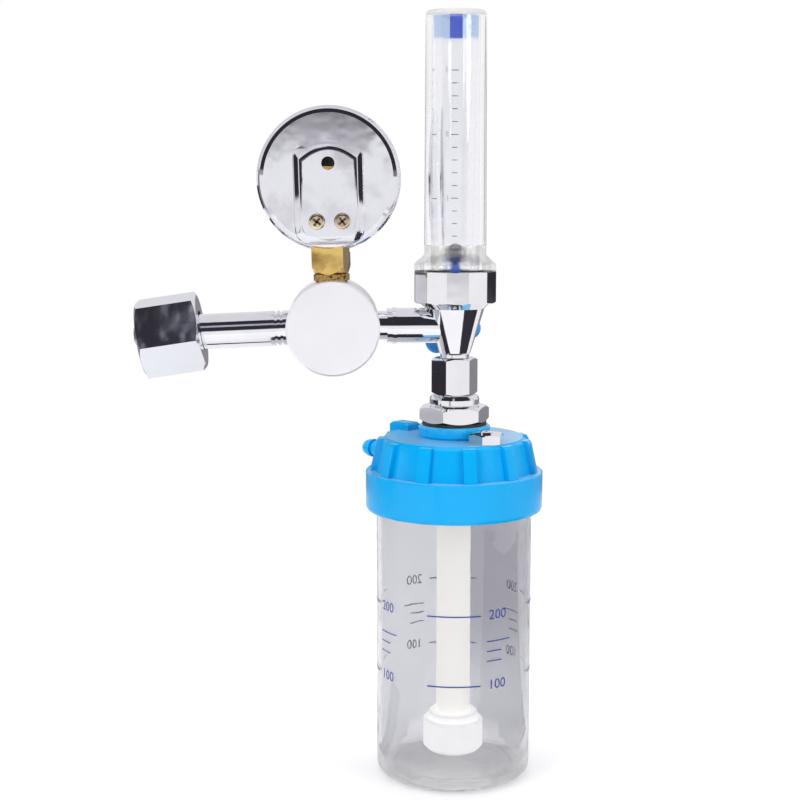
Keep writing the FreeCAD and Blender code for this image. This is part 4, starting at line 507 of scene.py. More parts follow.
FINISHES: dict[str, Finish] = {finish.name: finish for finish in (
    Metal("polished_metal", (0.90, 0.90, 0.92), roughness=0.045, smudge=0.05),
    Metal("cast_metal", (0.88, 0.89, 0.93), roughness=0.07, smudge=0.10, wave=0.00016),
    Metal("drum_metal", (0.97, 0.96, 0.985), roughness=0.34, smudge=0.05, tint=(0.9, 0.9, 0.92),
          lathe_axis="Y", lathe_centre=DRUM_CENTRE, lathe_height=0.000002, metallic=0.5),
    Metal("gauge_metal", (0.84, 0.84, 0.88), roughness=0.05, smudge=0.07, wave=0.00004,
          tint=(0.45, 0.44, 0.50), tint_amount=0.25),
    Metal("brass", (0.86, 0.60, 0.20), roughness=0.12, smudge=0.20, tint=(0.38, 0.22, 0.05),
          tint_amount=0.80, wave=0.00022),
    Metal("bronze", (0.62, 0.38, 0.18), roughness=0.28, smudge=0.2, tint=(0.30, 0.16, 0.07),
          tint_amount=0.5),
    Matt("bronze_filter", (0.42, 0.27, 0.13), second=(0.22, 0.13, 0.06), roughness=0.6, scale=2600.0,
         grain=0.00015),
    Metal("yellow_zinc", (0.86, 0.78, 0.52), roughness=0.22, smudge=0.2, tint=(0.72, 0.52, 0.45),
          tint_amount=0.7),
    Metal("spring_steel", (0.62, 0.62, 0.63), roughness=0.25, smudge=0.15),
    Metal("dark_steel", (0.17, 0.165, 0.18), roughness=0.10, smudge=0.04),
    Matt("seal_rubber", (0.020, 0.020, 0.021), second=(0.045, 0.044, 0.043), roughness=0.55),
    Matt("thread_seal", (0.46, 0.27, 0.07), second=(0.09, 0.045, 0.018), roughness=0.4, scale=900.0,
         grain=0.0003, low=0.46, high=0.58),
    Moulded("white_plastic", (0.86, 0.86, 0.83), roughness=0.4, coat=0.0, edge=(0.95, 0.95, 0.94),
            deep=(0.72, 0.71, 0.67), scatter=0.1),
    Matt("dial_white", (0.88, 0.88, 0.86), second=(0.82, 0.82, 0.80), roughness=0.55, scale=60.0,
         grain=0.000004),
    Matt("pointer_black", (0.015, 0.015, 0.016), second=(0.03, 0.03, 0.03), roughness=0.5),
    Clear("clear_lens", (0.97, 0.98, 0.98), ior=1.49, ripple=0.00001),
    Clear("clear_tube", (0.965, 0.966, 0.982), ior=1.53, ripple=0.00002, haze=0.03, low_z=0.0368,
          high_z=0.1293, rim_alpha=0.30),
    Clear("clear_bottle", (0.73, 0.73, 0.75), roughness=0.02, ior=1.50, ripple=0.00010, haze=0.06,
          low_z=-0.176, rim_soft=0.006, rim_alpha=0.50),
    Moulded("knob_blue", linear(24, 148, 226), roughness=0.22, edge=linear(90, 150, 205)),
    # The plug's blue core has a painted glow: emission that lightens it though it is no lamp
    Moulded("plug_blue", (0.001, 0.040, 0.42), roughness=0.5, coat=0.0, edge=(0.002, 0.05, 0.46),
            glow=0.75, gloss=0.0),
    Clear("plug_pale", (0.56, 0.72, 0.97), ior=1.0, roughness=0.0, haze=0.0, ripple=0.0),
    Moulded("seat_blue", linear(30, 96, 200), roughness=0.22, edge=linear(80, 140, 215)),
    # The lid gets a painted light on its upward faces, as if lit from above
    Moulded("lid_blue", (0.0, 0.40, 0.84), roughness=0.16, coat=0.10, edge=linear(130, 215, 250),
            edge_amount=0.40, deep=(0.0, 0.36, 0.79), deep_amount=0.06, gloss=0.3, top_amount=0.6),
    # The dip tube and the diffuser have a painted glow: emission that lightens them though they are no
    # lamps
    Moulded("dip_white", linear(249, 246, 238), roughness=0.35, coat=0.1, edge=(0.95, 0.93, 0.88),
            deep=linear(236, 231, 222), scatter=0.15, glow=0.60),
    Moulded("diffuser_white", linear(250, 249, 247), roughness=0.4, coat=0.05, edge=(0.96, 0.96, 0.95),
            deep=linear(236, 235, 232), scatter=0.15, glow=0.60),
    Moulded("pale_silicone", (0.84, 0.85, 0.88), roughness=0.4, coat=0.0, edge=(0.9, 0.9, 0.92),
            deep=(0.76, 0.77, 0.80)),
    Matt("scale_ink", linear(20, 44, 120), second=linear(28, 54, 130), roughness=0.5, scale=900.0,
         grain=0.000002),
    Matt("level_ink", linear(24, 54, 140), second=linear(34, 64, 150), roughness=0.5, scale=900.0,
         grain=0.000002),
    # Painted shade for the screws' cross recesses
    Matt("recess_shadow", (0.10, 0.055, 0.03), second=(0.04, 0.03, 0.02), roughness=0.5, scale=1500.0),
    Matt("dial_ink", (0.02, 0.02, 0.022), second=(0.03, 0.03, 0.03), roughness=0.5, scale=900.0,
         grain=0.000002),
    Matt("warning_ink", linear(190, 36, 30), second=linear(175, 30, 26), roughness=0.5, scale=900.0,
         grain=0.000002),
)}

# Nodes whose finish differs from their slot's own
SPECIAL_FINISH = {"regulator_body": "drum_metal", "regulator_cover": "drum_metal",
                  "inlet_nut": "cast_metal", "tube_gasket": "pale_silicone"}


class Workshop:
    """Builds each finish once and puts it on the pieces."""

    def __init__(self) -> None:
        """Starts with no material built."""
        self.made: dict[str, bpy.types.Material] = {}

    def finish(self, name: str) -> bpy.types.Material:
        """The material of that name, built on its first use.

        Args:
            name: The finish's name.

        Returns:
            The material.
        """
        if name not in self.made:
            self.made[name] = FINISHES[name].build()
        return self.made[name]

    def dress_nodes(self) -> None:
        """Gives every carried-over CAD node its finish."""
        slots = {part["node"]: part["material_slot"] for part in frame["record"]["subparts"]}
        for name, node in frame["nodes"].items():
            finish = self.finish(SPECIAL_FINISH.get(name, slots[name]))
            if not node.material_slots:
                node.data.materials.append(finish)
            for holder in node.material_slots:
                holder.material = finish
            LOG.info("node %s has the finish %s", name, finish.name)

    def place(self, name: str, mesh: bmesh.types.BMesh, finish: str, body: Body, slot: str,
              smooth_angle: float = 35.0) -> bpy.types.Object:
        """Makes a dressed piece of a mesh, which rides on its body.

        Args:
            name: The piece's name.
            mesh: The mesh in the row frame, which is freed.
            finish: The finish's name.
            body: The body that it moves with.
            slot: The record's material slot that the piece goes with. It is not used.
            smooth_angle: The angle in degrees under which edges are shaded smooth.

        Returns:
            The new object.
        """
        piece = mesh_object(name, mesh, smooth_angle)
        piece.data.materials.append(self.finish(finish))
        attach(piece, body.value)
        LOG.info("piece %s rides on %s", piece.name, body.value)
        return piece


# Mesh helpers

def mesh_object(name: str, mesh: bmesh.types.BMesh, smooth_angle: float = 35.0) -> bpy.types.Object:
    """A finished mesh as an object in the scene.

    Args:
        name: The piece's name.
        mesh: The mesh, which is freed.
        smooth_angle: The angle in degrees under which edges are shaded smooth.

    Returns:
        The object.
    """
    bmesh.ops.remove_doubles(mesh, verts=mesh.verts, dist=1e-7)
    bmesh.ops.recalc_face_normals(mesh, faces=mesh.faces)
    data = bpy.data.meshes.new(name)
    mesh.to_mesh(data)
    mesh.free()
    piece = bpy.data.objects.new(name, data)
    bpy.context.scene.collection.objects.link(piece)
    data.shade_smooth()
    data.set_sharp_from_angle(angle=math.radians(smooth_angle))
    return piece


def circle(radius: float, sides: int) -> list[tuple[float, float]]:
    """The points of a circle about the origin."""
    angles = [2 * math.pi * i / sides for i in range(sides)]
    return [(radius * math.cos(a), radius * math.sin(a)) for a in angles]


def loft(mesh: bmesh.types.BMesh, rings: list[list[bmesh.types.BMVert]], closed: bool = True) -> None:
    """Faces between rings of points.

    Args:
        mesh: The mesh that gets the faces.
        rings: The rings, each with the same number of points.
        closed: Whether the first ring and the last one get a face as well.
    """
    count = len(rings[0])
    for one, two in zip(rings, rings[1:]):
        for k in range(count):
            mesh.faces.new((one[k], one[(k + 1) % count], two[(k + 1) % count], two[k]))
    if closed:
        mesh.faces.new(rings[0])
        mesh.faces.new(list(reversed(rings[-1])))


def strip(mesh: bmesh.types.BMesh, wide: float, high: float, place: Print,
          at: tuple[float, float] = (0.0, 0.0), steps: int = 6) -> None:
    """A thin closed bar of ink, bent onto a surface.

    Args:
        mesh: The mesh that gets the bar.
        wide: The bar's width in metres.
        high: The bar's height in metres.
        place: Maps (across, up, out) on the print to the row frame.
        at: The bar's centre on the print.
        steps: The number of pieces across.
    """
    section = ((-high / 2, 0.0), (high / 2, 0.0), (high / 2, INK_THICK), (-high / 2, INK_THICK))
    rows = []
    for i in range(steps + 1):
        u = at[0] - wide / 2 + wide * i / steps
        rows.append([mesh.verts.new(place(u, at[1] + v, w)) for v, w in section])
    loft(mesh, rows)


def number(mesh: bmesh.types.BMesh, text: str, size: float, place: Print,
           at: tuple[float, float], cut: float = 0.0008) -> None:
    """A printed number, cut into narrow strips and bent onto a surface.

    Args:
        mesh: The mesh that gets the number.
        text: The digits.
        size: The height of the font in metres.
        place: Maps (across, up, out) on the print to the row frame.
        at: The number's centre on the print.
        cut: The width of the strips in metres.
    """
    curve = bpy.data.curves.new("digits", "FONT")
    curve.body = text
    curve.size = size
    curve.align_x = "CENTER"
    curve.align_y = "CENTER"
    curve.extrude = INK_THICK / 2
    curve.resolution_u = 4
    holder = bpy.data.objects.new("digits", curve)
    bpy.context.scene.collection.objects.link(holder)
    bpy.context.view_layer.update()
    data = bpy.data.meshes.new_from_object(holder.evaluated_get(bpy.context.evaluated_depsgraph_get()))
    digits = bmesh.new()
    digits.from_mesh(data)
    bpy.data.objects.remove(holder)
    bpy.data.curves.remove(curve)
    bpy.data.meshes.remove(data)
    bmesh.ops.remove_doubles(digits, verts=digits.verts, dist=1e-7)
    left = min(v.co.x for v in digits.verts)
    right = max(v.co.x for v in digits.verts)
    for i in range(1, int((right - left) / cut) + 1):
        bmesh.ops.bisect_plane(digits, geom=digits.verts[:] + digits.edges[:] + digits.faces[:],
                               plane_co=(left + i * cut, 0, 0), plane_no=(1, 0, 0))
    for vert in digits.verts:
        vert.co = place(at[0] + vert.co.x, at[1] + vert.co.y, vert.co.z + INK_THICK / 2)
    loose = bpy.data.meshes.new("digits")
    digits.to_mesh(loose)
    digits.free()
    mesh.from_mesh(loose)
    bpy.data.meshes.remove(loose)


def on_cylinder(radius: float, azimuth: float, z: float) -> Print:
    """A print on a cylinder about the tube's axis, read from outside.

    Args:
        radius: The printed surface's radius in metres.
        azimuth: The print's middle in degrees from +X.
        z: The print's height in the row frame.

    Returns:
        The map from (across, up, out) to the row frame.
    """
    def place(u: float, v: float, w: float) -> Vector:
        """A point of the print in the row frame."""
        angle = math.radians(azimuth) + u / radius
        out = radius + w
        return Vector((AXIS_X + out * math.cos(angle), out * math.sin(angle), z + v))

    return place


def on_dial(height: float) -> Print:
    """A print on the gauge's leaning dial, read from the user's side.

    Args:
        height: The dial's front face along Y in metres.

    Returns:
        The map from (across, up, out) to the row frame.
    """
    turn = Matrix.Rotation(-GAUGE_LEAN, 3, "Y")

    def place(u: float, v: float, w: float) -> Vector:
        """A point of the print in the row frame."""
        return GAUGE_CENTRE + turn @ Vector((-u, height + w, v))

    return place


def helix(mesh: bmesh.types.BMesh, radius: float, pitch: float, turns: float, depth: float, width: float,
          place: Matrix, steps_per_turn: int) -> None:
    """A closed thread ridge of triangular section, fading out at both ends.

    Args:
        mesh: The mesh that gets the ridge.
        radius: The radius of the ridge's root.
        pitch: The rise in one turn.
        turns: The number of turns.
        depth: The ridge's height outwards, or inwards where it is negative.
        width: The ridge's width at its root.
        place: Takes the thread's own frame, about Z, to the row frame.
        steps_per_turn: The number of steps in one turn.
    """
    count = int(turns * steps_per_turn)
    rings = []
    sink = -0.0002 if depth > 0 else 0.0002
    fade_steps = 0.25 * steps_per_turn
    for i in range(count + 1):
        angle = 2 * math.pi * i / steps_per_turn
        z = pitch * angle / (2 * math.pi)
        fade = min(1.0, i / fade_steps, (count - i) / fade_steps)
        crest = radius + max(fade, 0.02) * depth
        section = ((radius + sink, -width / 2), (crest, -width * 0.12), (crest, width * 0.12),
                   (radius + sink, width / 2))
        rings.append([mesh.verts.new(place @ Vector((r * math.cos(angle), r * math.sin(angle), z + dz)))
                      for r, dz in section])
    loft(mesh, rings)


# Sub-assemblies

@dataclass
class FlowScale:
    """The printed flow scale on the metering tube, read from the user's side."""

    workshop: Workshop
    radius: float = 0.01006
    azimuth: float = 90.0
    top_z: float = 0.1084
    bottom_z: float = 0.0399
    marks: int = 14
    long_mark: float = 0.0052
    short_mark: float = 0.0038
    line: float = 0.00035
    digit: float = 0.0032
    number_right: float = 0.0058
    first_value: int = 15

    def build(self) -> None:
        """Prints the marks and the numbers."""
        place = on_cylinder(self.radius, self.azimuth, 0.0)
        ticks = bmesh.new()
        digits = bmesh.new()
        for i in range(self.marks):
            z = self.top_z + (self.bottom_z - self.top_z) * i / (self.marks - 1)
            value = self.first_value - i
            wide = self.long_mark if value % 5 == 0 else self.short_mark
            strip(ticks, wide, self.line, place, (0.0, z))
            if value % 5 == 0:
                number(digits, str(value), self.digit, place, (self.number_right, z), cut=0.0004)
        self.workshop.place("flow_scale_marks", ticks, "scale_ink", Body.FIXED, "seat_blue")
        self.workshop.place("flow_scale_numbers", digits, "scale_ink", Body.FIXED, "seat_blue")


@dataclass
class TubePlug:
    """The blue stopper under the tube's roof: a pale see-through sleeve round a deep blue core with a
    painted glow.
    """

    workshop: Workshop
    low_z: float = 0.12068
    high_z: float = 0.12918
    sleeve_r: float = 0.00602
    core_r: float = 0.00262
    core_gap: float = 0.0001
    sides: int = 64

    def build(self) -> None:
        """Makes the two parts, which stand for the plug's node."""
        middle = Matrix.Translation((AXIS_X, 0.0, (self.low_z + self.high_z) / 2))
        long = self.high_z - self.low_z
        short = long - 2 * self.core_gap
        for name, radius, depth, finish in (("plug_sleeve", self.sleeve_r, long, "plug_pale"),
                                            ("plug_core", self.core_r, short, "plug_blue")):
            mesh = bmesh.new()
            bmesh.ops.create_cone(mesh, cap_ends=True, segments=self.sides, radius1=radius, radius2=radius,
                                  depth=depth, matrix=middle)
            piece = self.workshop.place(name, mesh, finish, Body.FIXED, "plug_blue")
            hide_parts("tube_plug")


@dataclass
class BottleScale:
    """The level lines and numbers printed round the bottle."""

    workshop: Workshop
    radius: float = 0.03304
    azimuths: tuple[float, ...] = (-93.5, -3.5, 86.5, 176.5)
    levels: tuple[tuple[float, str], ...] = ((-0.11376, "200"), (-0.14346, "100"))
    middle_z: float = -0.12900
    half_angle: float = 19.5
    line: float = 0.00058
    digit: float = 0.0058
    number_gap: float = 0.0078
    short_gap: float = 0.0042
    short_start: float = 0.62
    short_shares: tuple[float, ...] = (0.5, 0.32, 0.32)

    def build(self) -> None:
        """Prints the lines, the numbers and the short lines between them."""
        lines = bmesh.new()
        digits = bmesh.new()
        wide = 2 * math.radians(self.half_angle) * self.radius
        for azimuth in self.azimuths:
            place = on_cylinder(self.radius, azimuth, 0.0)
            for z, text in self.levels:
                strip(lines, wide, self.line, place, (0.0, z), steps=24)
                number(digits, text, self.digit, place, (wide / 2 + self.number_gap, z))
            for k, share in enumerate(self.short_shares):
                across = wide * self.short_start + wide * share / 2
                up = self.middle_z - (k - 1) * self.short_gap
                strip(lines, wide * share, self.line * 0.8, place, (across, up), steps=10)
        self.workshop.place("bottle_lines", lines, "level_ink", Body.BOTTLE, "knob_blue")
        self.workshop.place("bottle_numbers", digits, "level_ink", Body.BOTTLE, "knob_blue")


@dataclass
class DialFace:
    """The printed pressure scale: short and long marks, numbers and a red end zone."""

    workshop: Workshop
    face_y: float = 0.00722
    radius: float = 0.0232
    start: float = 225.0
    sweep: float = 270.0
    steps: int = 50
    top_value: int = 25
    major_mark: float = 0.0036
    middle_mark: float = 0.0026
    minor_mark: float = 0.0018
    bold: float = 0.00045
    fine: float = 0.00022
    digit: float = 0.0046
    number_inset: float = 0.0068
    zone_out: float = 0.0011
    zone_wide: float = 0.0012
    zone_start: float = 0.84

    def build(self) -> None:
        """Prints the marks, the arcs and the numbers."""
        place = on_dial(self.face_y)
        ink = bmesh.new()
        zone = bmesh.new()
        digits = bmesh.new()
        for i in range(self.steps + 1):
            angle = math.radians(self.start - self.sweep * i / self.steps)
            major = i % 10 == 0
            length = self.middle_mark if i % 5 == 0 else self.minor_mark
            if major:
                length = self.major_mark
                value = str(self.top_value * i // self.steps)
                centre = (self.radius - self.number_inset) * Vector((math.cos(angle), math.sin(angle)))
                number(digits, value, self.digit, place, (centre.x, centre.y), cut=0.01)
            turned = self.ray(place, angle)
            line = self.bold if major else self.fine
            strip(ink, length, line, turned, (self.radius - length / 2, 0.0), steps=1)
        self.arc(ink, place, self.radius, self.fine, 0.0, 1.0)
        self.arc(zone, place, self.radius + self.zone_out, self.zone_wide, self.zone_start, 1.0)
        self.workshop.place("dial_marks", ink, "dial_ink", Body.FIXED, "pointer_black")
        self.workshop.place("dial_numbers", digits, "dial_ink", Body.FIXED, "pointer_black")
        self.workshop.place("dial_zone", zone, "warning_ink", Body.FIXED, "pointer_black")

    @staticmethod
    def ray(place: Print, angle: float) -> Print:
        """A print whose width runs outwards from the dial's centre.

        Args:
            place: The dial's own map.
            angle: The ray's angle in radians, as the user sees it.

        Returns:
            The turned map.
        """
        def turned(u: float, v: float, w: float) -> Vector:
            """A point of the turned print in the row frame."""
            cos, sin = math.cos(angle), math.sin(angle)
            return place(u * cos - v * sin, u * sin + v * cos, w)

        return turned

    def arc(self, mesh: bmesh.types.BMesh, place: Print, radius: float,
            wide: float, low: float, high: float) -> None:
        """A printed arc along part of the scale.

        Args:
            mesh: The mesh that gets the arc.
            place: The dial's own map.
            radius: The arc's middle radius.
            wide: The arc's width.
            low: The share of the sweep where it starts.
            high: The share of the sweep where it ends.
        """
        def bent(u: float, v: float, w: float) -> Vector:
            """A point of the arc in the row frame."""
            angle = math.radians(self.start - self.sweep * u)
            return place((radius + v) * math.cos(angle), (radius + v) * math.sin(angle), w)

        strip(mesh, high - low, wide, bent, ((low + high) / 2, 0.0), steps=max(4, int(90 * (high - low))))


@dataclass
class GaugeBack:
    """The pressed panel's full rounded form on the gauge's back, and dark crosses of painted shade for the
    screws' cross recesses.

    The panel's rings are (inset from the edge, share of the panel's height).
    """

    workshop: Workshop
    back_y: float = -0.0114
    flat_y: float = -0.01365
    half_width: float = 0.0145
    low_z: float = -0.0268
    high_z: float = 0.0156
    shoulder_z: float = 0.0098
    corner_r: float = 0.0068
    hole_r: float = 0.0027
    hole_z: float = 0.0060
    head_y: float = -0.0155
    head_z: float = -0.01742
    head_x: float = 0.00515
    bar: tuple[float, float, float] = (0.0040, 0.00008, 0.0009)
    rings: tuple[tuple[float, float], ...] = ((0.0, -0.1), (0.0002, 0.08), (0.0008, 0.30), (0.0022, 0.80),
                                              (0.0029, 0.95), (0.0036, 1.0), (0.0044, 1.0))
    hole_sides: int = 40

    def outline(self, inset: float) -> list[tuple[float, float]]:
        """The panel's edge, drawn in by an inset.

        Args:
            inset: How far inside the outer edge, in metres.

        Returns:
            (across, up) points round the gauge's centre.
        """
        wide = self.half_width - inset
        radius = self.corner_r - inset * 0.4
        low = self.low_z + inset
        side = [(wide - radius + radius * math.sin(a), low + radius - radius * math.cos(a))
                for a in (math.pi / 2 * i / 10 for i in range(11))]
        top = self.high_z - inset
        shoulder = self.shoulder_z - inset * 0.7
        for i in range(12):
            left = 1 - i / 12
            side.append((wide * left, shoulder + (top - shoulder) * (1 - left ** 2)))
        return side + [(-x, z) for x, z in [(0.0, top)] + side[::-1]]

    def build(self) -> None:
        """Makes the panel's skin and the crosses of painted shade."""
        turn = Matrix.Rotation(-GAUGE_LEAN, 3, "Y")

        def at(x: float, y: float, z: float) -> Vector:
            """A point of the leaning gauge in the row frame."""
            return GAUGE_CENTRE + turn @ Vector((x, y, z))

        mesh = bmesh.new()
        rings = []
        deep = self.flat_y - self.back_y
        for inset, share in self.rings:
            y = self.back_y + deep * share
            rings.append([mesh.verts.new(at(x, y, z)) for x, z in self.outline(inset)])
        loft(mesh, rings, closed=False)
        hole = [(x, self.hole_z + z) for x, z in circle(self.hole_r, self.hole_sides)]
        rim = [[mesh.verts.new(at(x, y, z)) for x, z in hole] for y in (self.flat_y, self.flat_y - deep)]
        edges = []
        for loop in (rings[-1], rim[0]):
            for pair in zip([loop[-1]] + loop[:-1], loop):
                edges.append(mesh.edges.get(pair) or mesh.edges.new(pair))
        bmesh.ops.triangle_fill(mesh, edges=edges, use_beauty=True)
        loft(mesh, rim, closed=False)
        self.workshop.place("gauge_back_panel", mesh, "gauge_metal", Body.FIXED, "gauge_metal", 40.0)
        # The screws' cross recesses are thin dark bars on the heads: painted shade, not hollows
        crosses = bmesh.new()
        shape = Matrix.Diagonal((*self.bar, 1.0))
        for sign, start in ((-1, 38), (1, 50)):
            for angle in (start, start + 90):
                spin = Matrix.Rotation(math.radians(angle), 4, "Y")
                middle = Matrix.Translation(at(sign * self.head_x, self.head_y, self.head_z))
                bmesh.ops.create_cube(crosses, size=1.0, matrix=middle @ spin @ shape)
        self.workshop.place("screw_recess_shade", crosses, "recess_shadow", Body.FIXED, "yellow_zinc")


@dataclass
class Threads:
    """Screw threads that show when the bottle is off, and inside the inlet nut.

    A ridge is (height outwards, width at its root).
    """

    workshop: Workshop
    bottle_radius: float = 0.02940
    bottle_pitch: float = 0.0040
    bottle_low_z: float = -0.0595
    bottle_turns: float = 1.6
    bottle_ridge: tuple[float, float] = (0.00028, 0.0022)
    bottle_steps: int = 96
    nut_point: Point = (0.005029, 0.0, -0.000590)
    nut_slope: float = math.radians(8.4)
    nut_radius: float = 0.01030
    nut_pitch: float = 0.00181
    nut_turns: float = 8.5
    nut_start: float = -0.0045
    nut_ridge: tuple[float, float] = (-0.0006, 0.0015)
    nut_steps: int = 64

    def build(self) -> None:
        """Makes the two threads."""
        neck = bmesh.new()
        foot = Matrix.Translation((AXIS_X, 0.0, self.bottle_low_z))
        helix(neck, self.bottle_radius, self.bottle_pitch, self.bottle_turns, *self.bottle_ridge, foot,
              self.bottle_steps)
        self.workshop.place("bottle_thread", neck, "clear_bottle", Body.BOTTLE, "clear_bottle")
        out = Vector((-math.cos(self.nut_slope), 0.0, -math.sin(self.nut_slope)))
        turn = Vector((0, 0, 1)).rotation_difference(out).to_matrix().to_4x4()
        place = Matrix.Translation(Vector(self.nut_point) + out * self.nut_start) @ turn
        nut = bmesh.new()
        helix(nut, self.nut_radius, self.nut_pitch, self.nut_turns, *self.nut_ridge, place, self.nut_steps)
        self.workshop.place("nut_thread", nut, "polished_metal", Body.INLET_NUT, "polished_metal")


# Studio

DARK = (0.030, 0.027, 0.036)
WHITE = (0.93, 0.925, 0.95)
NEARLY_WHITE = (0.95, 0.95, 0.96)
UNDER_ARM_Z = -0.0400


@dataclass(frozen=True)
class Flag:
    """A board of the room that only reflections show.

    Its bearings are in degrees from the camera's side, its heights are sines of the elevation.
    """

    bearing: float
    half_bearing: float
    soft_bearing: float
    height: float
    half_height: float
    soft_height: float
    strength: float = 1.0
    broken: float = 0.0
    colour: Colour = DARK


def both_sides(bearing: float, *values: float, colour: Colour = DARK) -> tuple[Flag, Flag]:
    """The same flag at a bearing and at its opposite. At 180 degrees the two make one whole flag."""
    return Flag(bearing, *values, colour=colour), Flag(-bearing, *values, colour=colour)


ROOM_FLAGS = (
    *both_sides(180.0, 78.0, 10.0, 0.05, 0.36, 0.06, 0.72, 0.10),
    Flag(0.0, 90.0, 6.0, -0.14, 0.175, 0.004, colour=WHITE),
    Flag(0.0, 80.0, 8.0, 0.468, 0.432, 0.006),
    Flag(-2.0, 6.0, 1.0, 0.062, 0.026, 0.008, 0.55, 0.55, (0.70, 0.70, 0.75)),
    Flag(-8.0, 5.0, 2.0, 0.560, 0.080, 0.03, 1.25, 1.10, (0.62, 0.66, 0.78)),
    *both_sides(180.0, 80.0, 10.0, 0.380, 0.285, 0.03, 0.90, colour=(0.82, 0.82, 0.85)),
    *both_sides(-78.0, 28.0, 4.0, 0.0, 0.10, 0.02, colour=WHITE),
    Flag(4.8, 1.6, 0.3, -0.047, 0.022, 0.004, 0.55, 0.40),
    Flag(-104.0, 19.0, 4.0, -0.30, 0.215, 0.02),
    Flag(-124.0, 12.0, 8.0, -0.03, 0.055, 0.02, 0.75),
    Flag(134.0, 15.0, 3.0, -0.02, 0.065, 0.02),
    Flag(-25.0, 4.0, 3.0, -0.20, 0.12, 0.05, 0.6),
)


@dataclass(frozen=True)
class Card:
    """A flat card that only metal or glass shows, given by its corners in the row frame.

    Where it has a fade, it is nearly white at its nearest edge and has its own colour after that length.
    """

    name: str
    corners: tuple[tuple[float, float], ...]
    colour: Colour
    in_metal: bool
    in_glass: bool
    z: float = -0.1900
    fade: float = 0.0


CARDS = (
    Card("card_right", ((0.185, -0.115), (0.48, -0.42), (0.62, 0.10), (0.19, 0.035)), DARK, True, False),
    Card("card_left", ((0.075, 0.0), (-0.02, -0.02), (-0.04, 0.03), (0.075, 0.02)), DARK, True, False),
    Card("card_behind", ((0.1360, 0.045), (0.1810, 0.60), (0.60, 0.60), (0.50, 0.045)),
         (0.54, 0.53, 0.57), False, True, fade=0.22),
    Card("card_under_arm", ((0.046, -0.036), (0.112, -0.036), (0.112, -0.012), (0.046, -0.012)),
         DARK, True, False, z=UNDER_ARM_Z),
    Card("card_pale", ((0.046, -0.012), (0.112, -0.012), (0.112, 0.030), (0.046, 0.030)),
         (0.60, 0.60, 0.62), True, False, z=UNDER_ARM_Z),
)


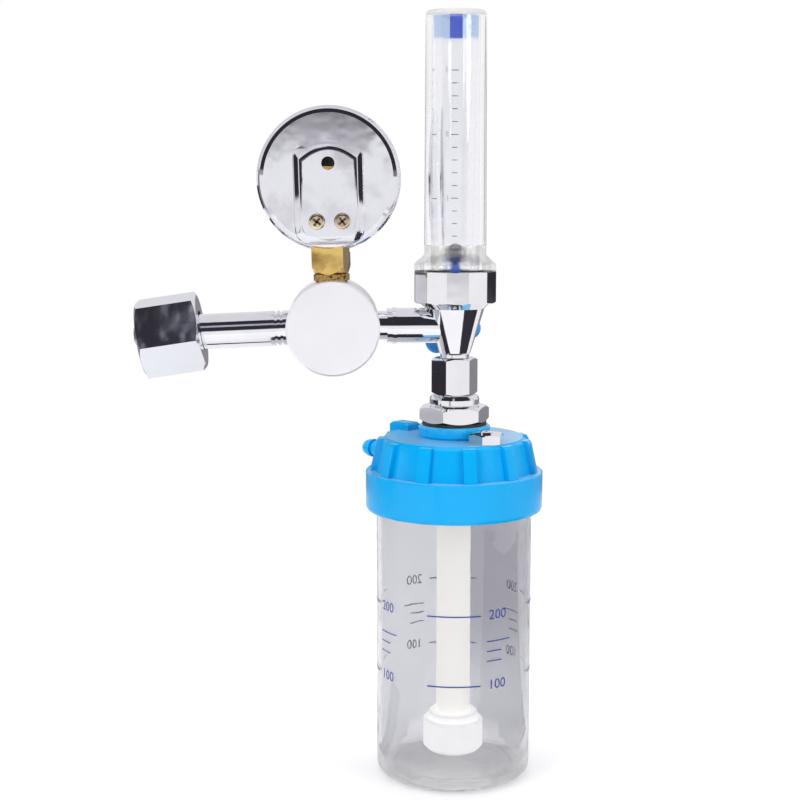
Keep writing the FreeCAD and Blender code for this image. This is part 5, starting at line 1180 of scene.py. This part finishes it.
@dataclass
class Studio:
    """The pale floor, the soft lights, the surroundings and the camera."""

    floor_z: float = -0.1905
    floor_r: float = 0.62
    floor_sides: int = 96
    camera_at: Point = (0.078436, -0.6305, 0.05923)
    yaw: float = 1.997
    pitch: float = 7.918
    lens: float = 67.9
    flags: tuple[Flag, ...] = ROOM_FLAGS

    def build(self) -> None:
        """Sets up the whole studio."""
        self.view()
        self.floor()
        self.surroundings()
        self.cards()
        self.lamps()
        self.camera()

    @staticmethod
    def view() -> None:
        """Sets the plain view transform."""
        bpy.context.scene.view_settings.view_transform = "Standard"

    def floor(self) -> None:
        """The pale round floor, which stays white to the camera apart from the soft shadow."""
        mesh = bmesh.new()
        rim = circle(self.floor_r, self.floor_sides)
        mesh.faces.new([mesh.verts.new((AXIS_X + x, y, self.floor_z)) for x, y in rim])
        piece = mesh_object("floor", mesh)
        finish = Finish("pale_floor", (0.86, 0.86, 0.87))
        material, kit, shader = finish.start()
        path = kit.add("ShaderNodeLightPath")
        seen = kit.math("MAXIMUM", path.outputs["Is Camera Ray"], path.outputs["Is Transmission Ray"])
        kit.fill(shader, Base_Color=rgba(finish.colour), Roughness=0.9, Emission_Color=(1.0, 1.0, 1.0, 1.0),
                 Emission_Strength=kit.times(seen, 0.22))
        piece.data.materials.append(material)

    def surroundings(self) -> None:
        """A white room to the camera, with flags and soft boxes for what metal reflects."""
        world = bpy.data.worlds.new("studio")
        bpy.context.scene.world = world
        world.use_nodes = True
        tree = world.node_tree
        tree.nodes.clear()
        kit = NodeKit(tree)
        direction = kit.add("ShaderNodeTexCoord").outputs["Generated"]
        parts = kit.axes(direction)
        turn = kit.math("ARCTAN2", parts["X"], kit.times(parts["Y"], -1.0))

        def band(value: Socket, centre: float, half: float, soft: float) -> Socket:
            """A soft band of a value, 1 inside and 0 outside."""
            away = kit.math("ABSOLUTE", kit.math("SUBTRACT", value, centre))
            return kit.ramp(away, half + soft, max(half - soft, 0.0))

        def across(middle: float, half: float, soft: float) -> Socket:
            """A soft upright band at a bearing from the camera's side, in degrees."""
            return band(turn, math.radians(middle), math.radians(half), math.radians(soft))

        cloud = kit.noise(direction, Scale=90.0, Detail=4.0, Roughness=0.7)
        mottle = kit.ramp(cloud, 0.40, 0.62)
        room = kit.mix(mottle, (0.82, 0.81, 0.85), (0.66, 0.65, 0.71))
        for flag in self.flags:
            held = kit.times(across(flag.bearing, flag.half_bearing, flag.soft_bearing),
                            band(parts["Z"], flag.height, flag.half_height, flag.soft_height))
            broken = kit.math("SUBTRACT", flag.strength, kit.times(mottle, flag.broken), clamp=True)
            room = kit.mix(kit.times(held, broken), room, flag.colour)
        path = kit.add("ShaderNodeLightPath")
        plain = kit.math("MAXIMUM", path.outputs["Is Camera Ray"], path.outputs["Is Transmission Ray"])
        colour = kit.mix(path.outputs["Is Glossy Ray"], (0.62, 0.62, 0.64), room)
        colour = kit.mix(plain, colour, (1.0, 1.0, 1.0))
        glow = kit.add("ShaderNodeBackground", Strength=1.0, Color=colour)
        kit.add("ShaderNodeOutputWorld", Surface=glow.outputs[0])

    def cards(self) -> None:
        """The cards, of which the camera sees none."""
        for card in CARDS:
            mesh = bmesh.new()
            mesh.faces.new([mesh.verts.new((x, y, card.z)) for x, y in card.corners])
            piece = mesh_object(card.name, mesh)
            material, kit, shader = Finish(card.name, card.colour).start()
            kit.fill(shader, Base_Color=rgba(card.colour), Roughness=1.0, Specular_IOR_Level=0.0)
            if card.fade:
                depth = kit.axes(kit.add("ShaderNodeNewGeometry").outputs["Position"])["Y"]
                near = min(y for x, y in card.corners)
                share = kit.ramp(depth, near, near + card.fade)
                kit.fill(shader, Base_Color=kit.mix(share, NEARLY_WHITE, card.colour))
            piece.data.materials.append(material)
            piece.visible_camera = False
            piece.visible_diffuse = False
            piece.visible_shadow = False
            piece.visible_glossy = card.in_metal
            piece.visible_transmission = card.in_glass

    @staticmethod
    def lamps() -> None:
        """Two large side lamps and one above."""
        for name, place, aim, size, power in (
                ("key_left", (-0.9, -0.9, 0.7), (0.09, 0.0, -0.02), 0.7, 9.0),
                ("fill_right", (1.1, -0.8, 0.4), (0.09, 0.0, -0.02), 0.6, 5.0),
                ("top", (0.1, 0.2, 1.3), (0.09, 0.0, 0.0), 0.8, 7.0)):
            lamp = bpy.data.lights.new(name, "AREA")
            lamp.shape = "DISK"
            lamp.size = size
            lamp.energy = power
            holder = bpy.data.objects.new(name, lamp)
            holder.location = place
            holder.rotation_euler = (Vector(aim) - Vector(place)).to_track_quat("-Z", "Y").to_euler()
            holder.visible_glossy = False
            bpy.context.scene.collection.objects.link(holder)

    def camera(self) -> None:
        """The camera at the photograph's viewing angle."""
        data = bpy.data.cameras.new("photograph")
        data.lens = self.lens
        data.sensor_width = 36.0
        data.clip_start = 0.01
        holder = bpy.data.objects.new("photograph", data)
        holder.location = self.camera_at
        holder.rotation_euler = (math.radians(90.0 - self.pitch), 0.0, -math.radians(self.yaw))
        bpy.context.scene.collection.objects.link(holder)
        bpy.context.scene.camera = holder


def main() -> None:
    """Dresses the nodes, adds the printed and turned details, and sets up the studio."""
    logging.basicConfig(level=logging.INFO, format="%(name)s: %(message)s")
    workshop = Workshop()
    workshop.dress_nodes()
    for assembly in (FlowScale(workshop), TubePlug(workshop), BottleScale(workshop), DialFace(workshop),
                     GaugeBack(workshop), Threads(workshop)):
        assembly.build()
        LOG.info("built %s", type(assembly).__name__)
    Studio().build()


if __name__ == "__main__":
    main()
